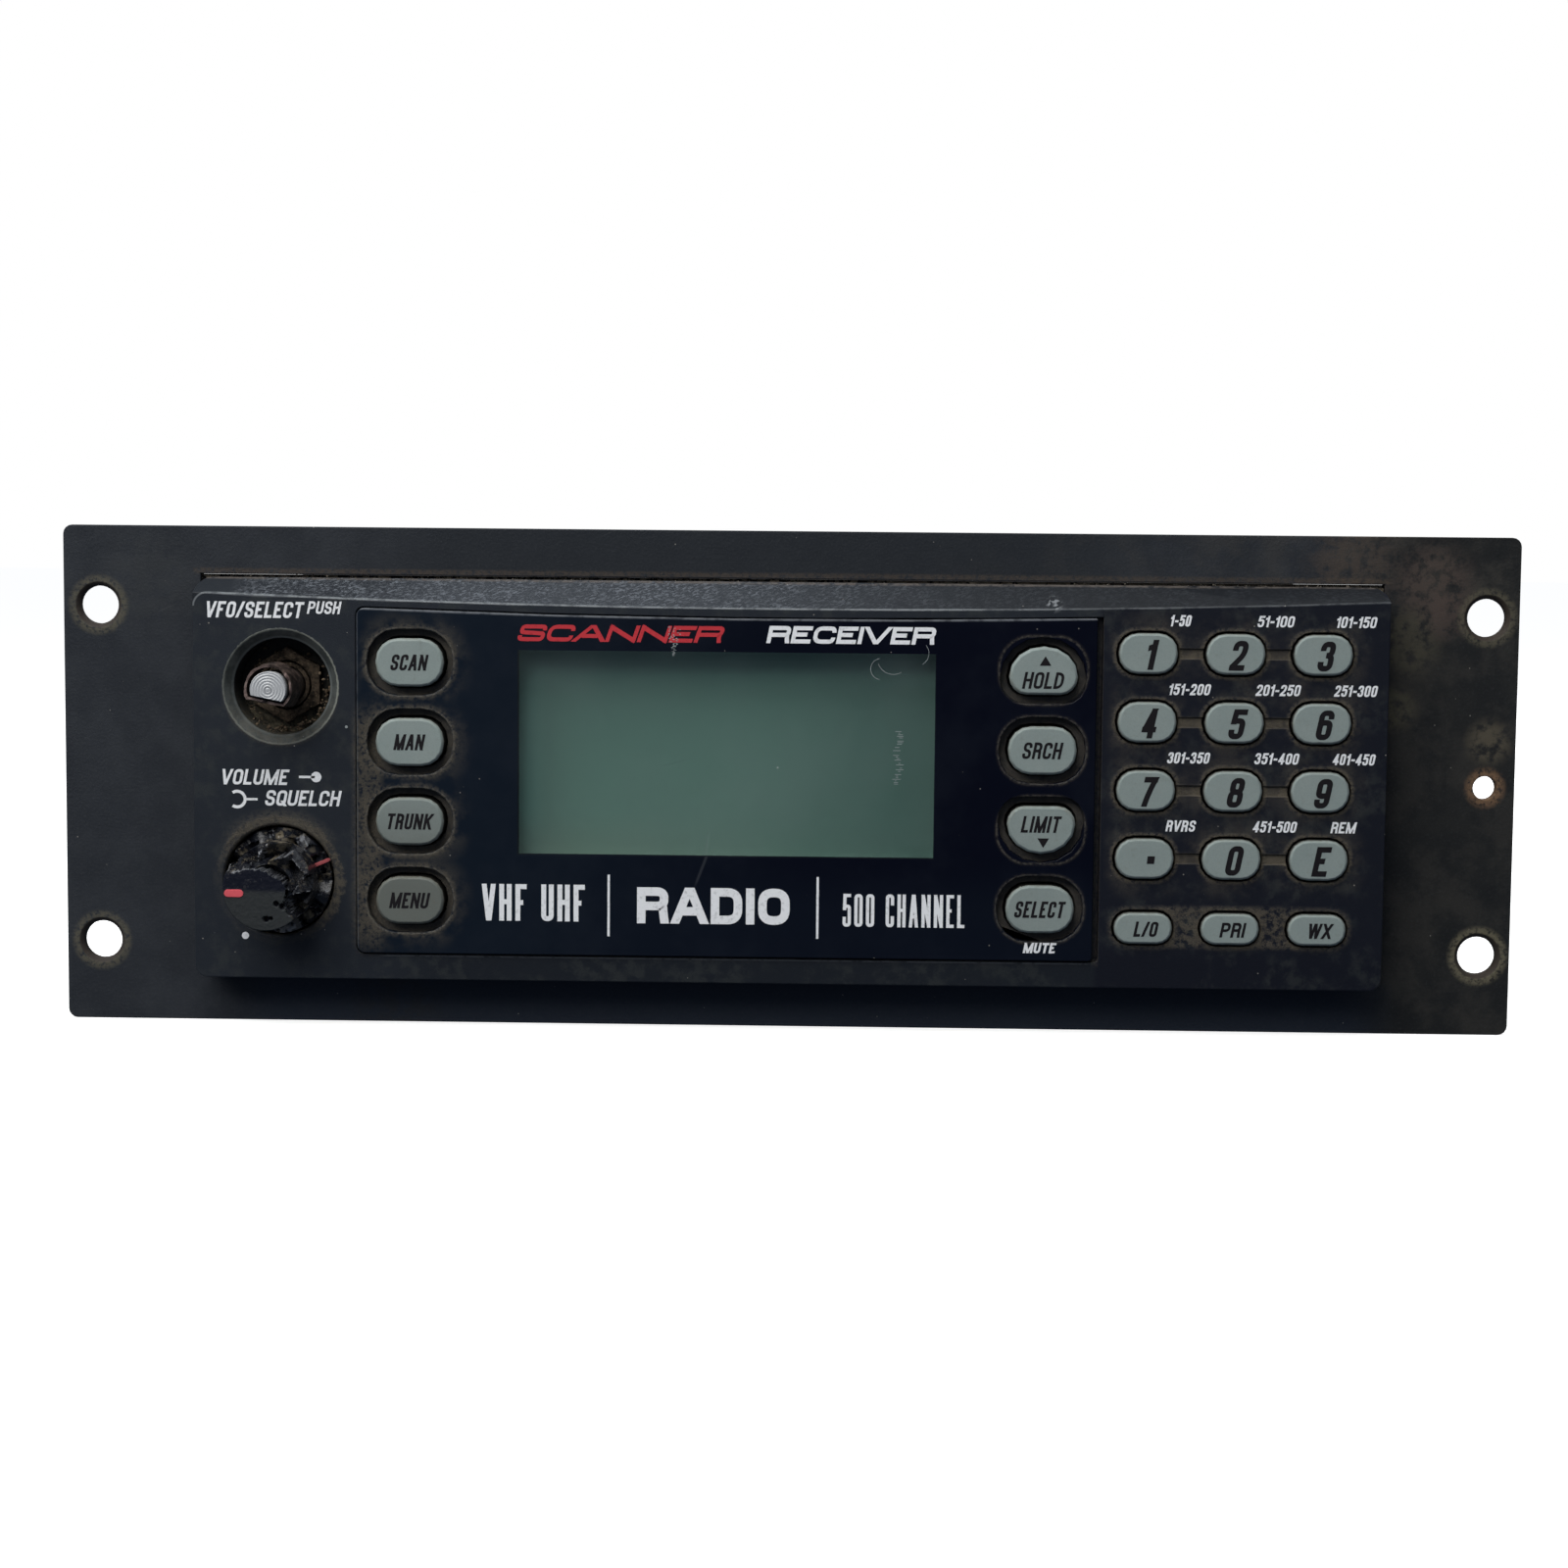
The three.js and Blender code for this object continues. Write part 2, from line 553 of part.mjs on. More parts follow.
function audioJack(place) {
  const { x, z } = place;
  const body = join(
    box([x - 4, REAR_INSIDE - 12, z - 6.5], [x + 4, REAR_INSIDE - 0.2, z + 4]),
    rod(x, z, 3, REAR_INSIDE - 1, REAR_FACE + 1.4));
  return cut(body, rod(x, z, 1.8, REAR_INSIDE - 10, REAR_FACE + 3, 20));
}

function dataPort() {
  const { x, z } = DATA_PORT;
  const shell = join(
    box([x - 15.4, REAR_INSIDE - 9, z - 6.2], [x + 15.4, REAR_INSIDE - 0.2, z + 6.2]),
    slab(dOutline(x, z, 17.6, 8.8), REAR_INSIDE - 1, REAR_FACE + 5.6));
  const cavity = slab(dOutline(x, z, 16.4, 7.6), REAR_FACE - 0.6, REAR_FACE + 7);
  const pins = [];
  for (let i = 0; i < 9; i += 1) {
    const [row, column] = i < 5 ? [1.4, i - 2] : [-1.4, i - 6.5];
    pins.push(rod(x + column * 2.77, z + row, 0.5, REAR_FACE - 2, REAR_FACE + 4.4, 8));
  }
  return join(cut(shell, cavity), ...pins);
}

// ---------------------------------------------------------------- pieces inside the cabinet

function mainBoard() {
  const board = box([-84, 24, BOARD.mainZ], [84, REAR_INSIDE - 0.8, BOARD.mainZ + BOARD.thickness]);
  const holes = [[-79, 30], [79, 30], [-79, 140], [79, 140]].map(([x, y]) =>
    new THREE.CylinderGeometry(1.7, 1.7, 4, 16).rotateX(Math.PI / 2).translate(x, y, BOARD.mainZ + 1));
  return cut(board, ...holes);
}

function tunerShield() {
  const bottom = BOARD.mainZ + BOARD.thickness + 0.2;
  const outer = box([20, 56, bottom], [78, 112, bottom + 15]);
  const inner = box([20.6, 56.6, bottom - 1], [77.4, 111.4, bottom + 14.4]);
  const ports = [[33, 70], [49, 70], [65, 70], [33, 98], [65, 98]].map(([x, y]) =>
    new THREE.CylinderGeometry(2, 2, 4, 16).rotateX(Math.PI / 2).translate(x, y, bottom + 14.8));
  return cut(outer, inner, ...ports);
}

function speaker() {
  const top = CABINET.height / 2 - CABINET.sheet - 0.3;
  const profile = [
    [0, top - 5], [6, top - 6], [9, top - 11], [27, top - 3.5], [30, top], [33, top], [33, top - 2.4], [30, top - 3],
    [17, top - 14], [17, top - 22], [0, top - 22],
  ].map(([r, z]) => new THREE.Vector2(r, z));
  return new THREE.LatheGeometry(profile.reverse(), 24).rotateX(Math.PI / 2).translate(SPEAKER.x, SPEAKER.y, 0);
}

function flatCable() {
  const thickness = 0.7;
  const [startY, startZ] = [BOARD.frontY + BOARD.thickness + 0.2, -6];
  const [endY, endZ] = [38, BOARD.mainZ + BOARD.thickness + 0.2];
  const outline = polygon([
    [startY, startZ], [16, startZ], [24, endZ], [endY, endZ],
    [endY, endZ + thickness], [24.4, endZ + thickness], [16.4, startZ + thickness], [startY, startZ + thickness],
  ]);
  return bar(outline, -22, 8);
}

// ---------------------------------------------------------------- assembly

const pieces = [];

function add(name, geometry, look) {
  const { opacity, ...surface } = FINISHES[look];
  const material = new THREE.MeshStandardMaterial({ ...surface, opacity, transparent: opacity < 1 });
  const mesh = new THREE.Mesh(geometry, material);
  mesh.name = name;
  pieces.push(mesh);
}

add('faceplate', faceplate(), 'blackSteel');
add('front_bezel', frontBezel(), 'darkPlastic');
add('display_lens', displayLens(), 'lens');
add('lcd_frame', lcdFrame(), 'brightMetal');
add('lcd_glass', lcdSheet(-2.8, -0.6), 'lcdGlass');
add('backlight_diffuser', lcdSheet(-0.4, 3.6), 'clearPlastic');
add('left_key_mat', keyMat(-64, -49.4), 'rubber');
add('right_key_mat', keyMat(31.4, 86.4), 'rubber');
add('front_circuit_board', frontBoard(), 'circuit');

for (const key of KEYS) {
  add(key.name, keyCap(key), 'paleKey');
}

add('encoder_body', controlBody(ENCODER, 12.8, 6.3), 'zinc');
add('encoder_nut', hexNut(ENCODER, 10), 'brightMetal');
add('encoder_plunger', rod(ENCODER.x, ENCODER.z, 2.5, 3.3, 5.4), 'brightMetal');
add('encoder_shaft', encoderShaft(), 'brightMetal');
add('encoder_knob_hub', encoderHub(), 'hubPlastic');
add('potentiometer_body', controlBody(POT, 16.5, 7.6), 'zinc');
add('potentiometer_nut', hexNut(POT, 12), 'brightMetal');
add('squelch_shaft', squelchShaft(), 'brightMetal');
add('squelch_knob', squelchKnob(), 'blackKnob');
add('volume_shaft', rod(POT.x, POT.z, 1.7, -16.7, 7), 'brightMetal');
add('volume_knob', volumeKnob(), 'blackKnob');

add('chassis_tray', chassisTray(), 'blackSteel');
add('top_cover', topCover(), 'blackSteel');
add('rear_panel', rearPanel(), 'blackSteel');
add('antenna_socket', antennaSocket(), 'brightMetal');
add('power_jack', powerJack(), 'socketPlastic');
add('external_speaker_jack', audioJack(EXTERNAL_SPEAKER), 'socketPlastic');
add('line_out_jack', audioJack(LINE_OUT), 'socketPlastic');
add('data_port', dataPort(), 'brightMetal');
add('main_circuit_board', mainBoard(), 'circuit');
add('tuner_shield', tunerShield(), 'brightMetal');
add('speaker', speaker(), 'paper');
add('flat_cable', flatCable(), 'ribbon');

for (const [sideName, side] of [['left', -1], ['right', 1]]) {
  add(`${sideName}_front_screw`, sideScrew(side, SIDE_SCREWS.nearY), 'zinc');
  add(`${sideName}_rear_screw`, sideScrew(side, SIDE_SCREWS.farY), 'zinc');
}

// The whole is moved so that the origin is the centre of its box.
const radio = new THREE.Group();
radio.name = 'scanner_radio';
radio.position.y = -(VOLUME_KNOB.front + REARMOST) / 2;
radio.add(...pieces);

export default radio;
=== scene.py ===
# A scanner radio in its console faceplate: the looks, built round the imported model.
import json
import math
import random

import bmesh
import bpy
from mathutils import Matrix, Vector, noise


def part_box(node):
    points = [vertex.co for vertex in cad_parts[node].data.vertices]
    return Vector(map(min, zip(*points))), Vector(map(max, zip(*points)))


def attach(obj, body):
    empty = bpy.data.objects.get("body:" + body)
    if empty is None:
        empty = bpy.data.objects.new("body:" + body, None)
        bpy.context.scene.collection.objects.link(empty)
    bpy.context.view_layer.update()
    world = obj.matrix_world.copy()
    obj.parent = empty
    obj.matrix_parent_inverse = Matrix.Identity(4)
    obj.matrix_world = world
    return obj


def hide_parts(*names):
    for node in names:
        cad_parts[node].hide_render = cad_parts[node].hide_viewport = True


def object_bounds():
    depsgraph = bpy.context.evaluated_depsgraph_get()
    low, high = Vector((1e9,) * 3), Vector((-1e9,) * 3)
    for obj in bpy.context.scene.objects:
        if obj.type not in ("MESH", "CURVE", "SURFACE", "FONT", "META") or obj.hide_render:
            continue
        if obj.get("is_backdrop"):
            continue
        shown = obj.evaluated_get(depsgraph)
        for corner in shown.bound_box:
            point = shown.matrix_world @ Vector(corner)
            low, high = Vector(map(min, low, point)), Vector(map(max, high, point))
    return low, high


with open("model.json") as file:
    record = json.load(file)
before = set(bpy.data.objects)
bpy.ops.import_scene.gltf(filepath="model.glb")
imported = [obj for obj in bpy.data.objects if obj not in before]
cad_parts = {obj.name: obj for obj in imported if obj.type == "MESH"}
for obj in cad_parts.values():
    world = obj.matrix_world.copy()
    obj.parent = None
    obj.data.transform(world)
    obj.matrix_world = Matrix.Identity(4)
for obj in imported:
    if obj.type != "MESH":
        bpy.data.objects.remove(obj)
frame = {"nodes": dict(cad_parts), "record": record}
cad_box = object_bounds()
scene = bpy.context.scene
nodes = frame["nodes"]
members_of = frame["record"]["behaviour"]["bodies"]

MM = 0.001
ROOT = "radio"
PLATE_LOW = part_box("faceplate")[0]
FRONT = PLATE_LOW.y


def mm(x, y, z):
    """A point in millimetres, with y counted from the front of the faceplate, in the frame's metres."""
    return Vector((x * MM, FRONT + y * MM, z * MM))


def middle_mm(node):
    """The middle of a CAD part in the same millimetres."""
    low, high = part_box(node)
    centre = (low + high) / 2 - Vector((0, FRONT, 0))
    return centre / MM


def front_mm(node):
    return (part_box(node)[0].y - FRONT) / MM


def body_of(node):
    return next(body for body, members in members_of.items() if node in members)


BEZEL_FACE = front_mm("front_bezel")
LENS_FACE = front_mm("display_lens")
LENS_LEFT, LENS_TOP = -64.8, 24.9
LENS_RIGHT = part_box("display_lens")[1].x / MM
LENS_ARCH = 1.1 / 64 ** 2  # how the lens's top edge rises with the square of x
ENCODER_X, _, ENCODER_Z = middle_mm("encoder_body")
POT_X, _, POT_Z = middle_mm("potentiometer_body")
WELL, WELL_RIM = 7.3, 8.72  # radii of the encoder's well and of the outer edge of its chamfer
FLAT_ANGLE = math.radians(-101.3)
BAND_MIDDLE = 26.35  # height of the sloped band's lower edge at x = 0
BAND_RISE = 1.8 / 89.5 ** 2
GAP_STRIP_HALF_WIDTH, GAP_STRIP_HALF_HEIGHT = 90.25, 30.75
PLATE_TOP_GAP = 30.55  # height of the gap between the radio's top and the faceplate
HOLE_X, HOLE_Z = (-105.75, 106.25), 25.9  # the four mounting holes
LOCATING_HOLE_X = 106.6

LEFT_KEYS = ["scan_key", "manual_key", "trunk_key", "menu_key"]
RIGHT_KEYS = ["hold_key", "search_key", "limit_key", "select_key"]
KEYPAD = [
    ["digit_1_key", "digit_2_key", "digit_3_key"],
    ["digit_4_key", "digit_5_key", "digit_6_key"],
    ["digit_7_key", "digit_8_key", "digit_9_key"],
    ["point_key", "digit_0_key", "enter_key"],
]
FUNCTION_KEYS = ["lockout_key", "priority_key", "weather_key"]
ALL_KEYS = LEFT_KEYS + RIGHT_KEYS + sum(KEYPAD, []) + FUNCTION_KEYS
KEY_FLANGE = 0.9
# a grid of keys: its upper left key, its lower right key, its columns and its rows
LEFT_GRID = ("scan_key", "menu_key", 1, 4)
RIGHT_GRID = ("hold_key", "select_key", 1, 4)
KEYPAD_GRID = ("digit_1_key", "enter_key", 3, 4)
FUNCTION_GRID = ("lockout_key", "weather_key", 3, 1)


def key_half_mm(node):
    """Half the width and half the height of a key's face."""
    low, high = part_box(node)
    size = (high - low) / MM
    return size.x / 2 - KEY_FLANGE, size.z / 2 - KEY_FLANGE


# ------------------------------------------------------------------ camera, lights and stage

def add_camera():
    data = bpy.data.cameras.new("camera")
    data.lens = 64.73
    data.sensor_width = 36
    data.clip_start = 0.01
    camera = bpy.data.objects.new("camera", data)
    scene.collection.objects.link(camera)
    camera.location = mm(8.0, -430.8, 36.33)
    camera.rotation_euler = (math.radians(85.108), math.radians(-0.533), math.radians(1.161))
    scene.camera = camera


def add_area_light(name, location, target, size, power, colour=(1, 1, 1), glossy=True):
    data = bpy.data.lights.new(name, "AREA")
    data.shape = "RECTANGLE"
    data.size, data.size_y = size
    data.energy = power
    data.color = colour
    light = bpy.data.objects.new(name, data)
    scene.collection.objects.link(light)
    light.location = location
    light.rotation_euler = (Vector(target) - Vector(location)).to_track_quat("-Z", "Y").to_euler()
    light.visible_glossy = glossy


def add_world():
    """A room that is bright overhead and dim low down; seen directly it is white."""
    world = bpy.data.worlds.new("studio")
    scene.world = world
    world.use_nodes = True
    tree = world.node_tree
    tree.nodes.clear()
    link = tree.links.new
    coords = tree.nodes.new("ShaderNodeTexCoord")
    parts = tree.nodes.new("ShaderNodeSeparateXYZ")
    ramp = tree.nodes.new("ShaderNodeValToRGB")
    ramp.color_ramp.elements[0].position = 0.0
    ramp.color_ramp.elements[0].color = (0.075, 0.096, 0.135, 1)
    ramp.color_ramp.elements[1].position = 0.9
    ramp.color_ramp.elements[1].color = (0.45, 0.465, 0.48, 1)
    room = tree.nodes.new("ShaderNodeBackground")
    white = tree.nodes.new("ShaderNodeBackground")
    path = tree.nodes.new("ShaderNodeLightPath")
    mix = tree.nodes.new("ShaderNodeMixShader")
    out = tree.nodes.new("ShaderNodeOutputWorld")
    link(coords.outputs["Generated"], parts.inputs[0])
    link(parts.outputs["Z"], ramp.inputs["Fac"])
    link(ramp.outputs["Color"], room.inputs["Color"])
    link(path.outputs["Is Camera Ray"], mix.inputs["Fac"])
    link(room.outputs[0], mix.inputs[1])
    link(white.outputs[0], mix.inputs[2])
    link(mix.outputs[0], out.inputs["Surface"])
    white.inputs["Color"].default_value = (1, 1, 1, 1)


def add_floor():
    """A plain pale floor that the object's lower edge rests on; it throws no light back on the object."""
    mesh = bpy.data.meshes.new("floor")
    half = 6.0
    z = PLATE_LOW.z - 0.05 * MM
    mesh.from_pydata([(-half, -half, z), (half, -half, z), (half, half, z), (-half, half, z)], [],
                     [(0, 1, 2, 3)])
    floor = bpy.data.objects.new("floor", mesh)
    scene.collection.objects.link(floor)
    paint = bpy.data.materials.new("pale_floor")
    paint.use_nodes = True
    shader = paint.node_tree.nodes["Principled BSDF"]
    shader.inputs["Base Color"].default_value = (0.55, 0.55, 0.55, 1)
    shader.inputs["Roughness"].default_value = 0.9
    shader.inputs["Emission Color"].default_value = (1, 1, 1, 1)
    shader.inputs["Emission Strength"].default_value = 0.78
    mesh.materials.append(paint)
    floor.visible_diffuse = False
    floor.visible_glossy = False
    floor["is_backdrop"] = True


def light_stage():
    add_world()
    centre = mm(0, 0, 0)
    add_area_light("key_light", mm(-330, -470, 560), centre, (0.8, 0.6), 6.6, (1.0, 0.99, 0.97))
    add_area_light("top_light", mm(-60, -40, 700), centre, (0.7, 0.5), 3.6, (0.95, 0.98, 1.0), glossy=False)
    add_area_light("back_light", mm(150, 800, 500), mm(0, 80, 0), (0.6, 0.4), 6.0, glossy=False)


# ------------------------------------------------------------------ a small language for materials

class Value:
    """A number or vector that a material works out at each place; | is a sum that stops at 1."""

    def __init__(self, paint, node, output=0):
        self.paint = paint
        self.socket = node.outputs[output]

    def __mul__(self, other):
        return self.paint.math("MULTIPLY", self, other)

    def __add__(self, other):
        return self.paint.math("ADD", self, other)

    def __or__(self, other):
        return self.paint.math("ADD", self, other, clamp=True)

    def __sub__(self, other):
        return self.paint.math("SUBTRACT", self, other)

    def __rsub__(self, other):
        return self.paint.math("SUBTRACT", other, self)

    def smooth(self, low, high):
        """0 below low, 1 above high, or the other way round when low is the larger."""
        start, end = (0.0, 1.0) if low <= high else (1.0, 0.0)
        node = self.paint.add("ShaderNodeMapRange", Value=self, FromMin=min(low, high),
                              FromMax=max(low, high), ToMin=start, ToMax=end)
        node.interpolation_type = "SMOOTHSTEP"
        return Value(self.paint, node)

    def blend(self, a, b):
        """Goes from a to b as this goes from 0 to 1."""
        return self * b + (1.0 - self) * a


class Paint:
    """A procedural material. Steps take values or plain numbers; lengths are in millimetres."""

    def __init__(self, name, metallic=0.0, specular=0.5):
        self.material = bpy.data.materials.new(name)
        self.material.use_nodes = True
        self.tree = self.material.node_tree
        self.tree.nodes.clear()
        self.shader = self.add("ShaderNodeBsdfPrincipled", Metallic=metallic, SpecularIORLevel=specular)
        out = self.add("ShaderNodeOutputMaterial")
        self.tree.links.new(self.shader.outputs[0], out.inputs["Surface"])
        coords = Value(self, self.add("ShaderNodeTexCoord"), "Object")
        shift = self.vector("SUBTRACT", coords, (0, FRONT, 0))
        self.place = self.vector("SCALE", shift, scale=1 / MM)
        split = self.add("ShaderNodeSeparateXYZ", Vector=self.place)
        self.x, self.y, self.z = (Value(self, split, axis) for axis in range(3))
        self.colour = None
        self.normal = None

    def add(self, kind, **inputs):
        """A new node; each keyword is an input socket's name without its spaces."""
        node = self.tree.nodes.new(kind)
        for socket in node.inputs:
            value = inputs.pop(socket.name.replace(" ", ""), None)
            if value is not None:
                self.feed(socket, value)
        return node

    def feed(self, socket, value):
        if isinstance(value, Value):
            self.tree.links.new(value.socket, socket)
        elif socket.type == "RGBA" and len(value) == 3:
            socket.default_value = (*value, 1)
        else:
            socket.default_value = value

    def math(self, operation, a, b=0.0, clamp=False):
        node = self.add("ShaderNodeMath")
        node.operation = operation
        node.use_clamp = clamp
        self.feed(node.inputs[0], a)
        self.feed(node.inputs[1], b)
        return Value(self, node)

    def vector(self, operation, a, b=(0, 0, 0), scale=1.0):
        node = self.add("ShaderNodeVectorMath")
        node.operation = operation
        self.feed(node.inputs[0], a)
        if operation == "SCALE":
            node.inputs["Scale"].default_value = scale
        else:
            self.feed(node.inputs[1], b)
        return Value(self, node, "Value" if operation == "LENGTH" else 0)

    def attribute(self, name):
        """A number that is stored at each point of the mesh."""
        node = self.add("ShaderNodeAttribute")
        node.attribute_name = name
        return Value(self, node, "Fac")

    def turned(self, degrees, stretch):
        """The place turned in the plane of the front, then stretched, for marks that lie one way."""
        turn = self.add("ShaderNodeMapping", Vector=self.place, Rotation=(0, math.radians(degrees), 0))
        return Value(self, self.add("ShaderNodeMapping", Vector=Value(self, turn), Scale=stretch))

    def noise(self, scale, detail=2.0, roughness=0.5, where=None, distortion=0.0):
        node = self.add("ShaderNodeTexNoise", Vector=where or self.place, Scale=scale, Detail=detail,
                        Roughness=roughness, Distortion=distortion)
        return Value(self, node, "Fac")

    def patches(self, low, high, *noise, **more):
        """The places where a noise is high: 0 where it is below low, 1 where it is above high."""
        return self.noise(*noise, **more).smooth(low, high)

    def cells(self, scale, feature="F1"):
        node = self.add("ShaderNodeTexVoronoi", Vector=self.place, Scale=scale)
        node.feature = feature
        return Value(self, node, "Distance")

    def mix(self, amount, a, b):
        node = self.add("ShaderNodeMix")
        node.data_type = "RGBA"
        for socket, value in ((0, amount), (6, a), (7, b)):
            self.feed(node.inputs[socket], value)
        return Value(self, node, 2)

    def coat(self, tint, cover):
        """Lays a tint over the colour so far, as thickly as the cover says."""
        self.colour = self.mix(cover, self.colour, tint)

    def bump(self, height, depth):
        """Adds relief; depth is the height in millimetres that a value of 1 stands for."""
        node = self.add("ShaderNodeBump", Distance=depth * MM, Height=height, Normal=self.normal)
        self.normal = Value(self, node)

    def done(self, roughness, alpha=1.0):
        for socket, value in (("Base Color", self.colour), ("Roughness", roughness), ("Alpha", alpha),
                              ("Normal", self.normal)):
            if value is not None:
                self.feed(self.shader.inputs[socket], value)
        return self.material

    # distances and marks on the front

    def radius(self, x, z):
        """Distance from an axis that runs front to back."""
        away = self.vector("SUBTRACT", self.place, (x, 0, z))
        return self.vector("LENGTH", self.vector("MULTIPLY", away, (1, 0, 1)))

    def nearest(self, place, start, end, count):
        """How far a place is from the nearest of a row of evenly spaced ones."""
        offset = place - start
        if count == 1:
            return offset
        pitch = (end - start) / (count - 1)
        index = self.math("ROUND", self.math("DIVIDE", offset, pitch))
        index = self.math("MINIMUM", self.math("MAXIMUM", index, 0.0), count - 1.0)
        return offset - index * pitch

    def key_gap(self, first, last, columns, rows):
        """Distance outside the nearest key of a regular grid, given its first (upper left) and last key."""
        start, end = middle_mm(first), middle_mm(last)
        half_width, half_height = key_half_mm(first)
        corner = 0.9 * half_height
        squares = []
        for place, axis, count, half in ((self.x, 0, columns, half_width), (self.z, 2, rows, half_height)):
            away = self.math("ABSOLUTE", self.nearest(place, start[axis], end[axis], count))
            past = self.math("MAXIMUM", away - (half - corner), 0.0)
            squares.append(past * past)
        return self.math("SQRT", squares[0] + squares[1]) - corner

    def strip(self, low, high, soft, along="x"):
        """1 between two places along x or z, fading over a soft edge."""
        place = self.x if along == "x" else self.z
        return place.smooth(low - soft, low + soft) * place.smooth(high + soft, high - soft)

    def inside_box(self, x0, x1, z0, z1, soft):
        """1 inside a box drawn on the front, fading to 0 over a soft edge."""
        return self.strip(x0, x1, soft) * self.strip(z0, z1, soft, "z")

    def stain(self, x, z, radius, grain):
        """An irregular patch on the front, 1 at its middle."""
        return self.radius(x, z).smooth(radius, radius * 0.35) * grain

    def strokes(self, degrees, density, share):
        """Thin straight scratches that lie near one direction; share is how much of the surface has none."""
        return self.patches(share, share + 0.05, density, where=self.turned(degrees, (0.07, 1, 1)))

    def specks(self, scale, size, share):
        """Small round bits of lint."""
        return self.cells(scale).smooth(size, size * 0.4) * self.patches(share, share + 0.02, scale * 0.43, 1)


DUST = (0.128, 0.108, 0.076)
DUN = (0.060, 0.054, 0.045)
PALE = (0.30, 0.28, 0.25)
DARK_DIRT = (0.05, 0.035, 0.02)


def front_dust(paint):
    """How thickly dust lies on each place of the radio's front, from 0 to 1."""
    keypad = paint.key_gap(*KEYPAD_GRID)
    functions = paint.key_gap(*FUNCTION_GRID)
    left = paint.key_gap(*LEFT_GRID)
    right = paint.key_gap(*RIGHT_GRID)
    encoder = paint.radius(ENCODER_X, ENCODER_Z)
    pot = paint.radius(POT_X, POT_Z)
    speckled = paint.patches(0.34, 0.56, 1.6, 5, 0.65)
    cloudy = paint.patches(0.40, 0.66, 0.2, 4, 0.65)
    crumbly = paint.patches(0.43, 0.53, 1.1, 6, 0.8).blend(0.25, 1.0)
    on_keypad = paint.x.smooth(47.5, 49.5)
    between_functions = paint.inside_box(56.5, 78, -24.0, -17.9, 0.6)
    toward_top_right = (paint.x - POT_X) * 0.8 + (paint.z - POT_Z)
    around_pot = toward_top_right.smooth(-9, 4).blend(0.12, 1.0)
    ragged_ring = (pot + paint.noise(0.8, 5, 0.75) * 3.0).smooth(11.7, 10.9)
    lens_left_edge = paint.strip(-65.2, -61.0, 0.9) * paint.strip(-25, 10, 3, "z")
    lens_right_edge = paint.strip(LENS_RIGHT, LENS_RIGHT + 1.0, 0.1) * paint.strip(-27, 25, 0.6, "z")
    dust = (keypad.smooth(1.05, 0.35) * speckled * 0.90
            | keypad.smooth(4.0, 0.6) * cloudy * on_keypad * 0.34
            | functions.smooth(1.3, 0.2) * speckled * 0.70
            | between_functions * paint.patches(0.42, 0.56, 0.9, 5, 0.75) * 0.85
            | left.smooth(1.3, 1.5) * left.smooth(2.4, 1.5) * speckled * 0.60
            | right.smooth(1.3, 1.5) * right.smooth(2.0, 1.5) * speckled * 0.30
            | left.smooth(5.2, 1.3) * cloudy * 0.42
            | encoder.smooth(WELL_RIM + 0.7, WELL_RIM) * paint.z.smooth(16, 6) * speckled * 0.45
            | ragged_ring * around_pot * crumbly
            | pot.smooth(11.6, 9.6) * paint.z.smooth(POT_Z + 4, POT_Z + 9) * speckled * 0.50
            | lens_left_edge * speckled * 0.75
            | lens_right_edge * speckled * 0.30)
    return dust * paint.patches(0.3, 0.65, 6.0, 3, 0.6).blend(0.6, 1.0)


# ------------------------------------------------------------------ materials

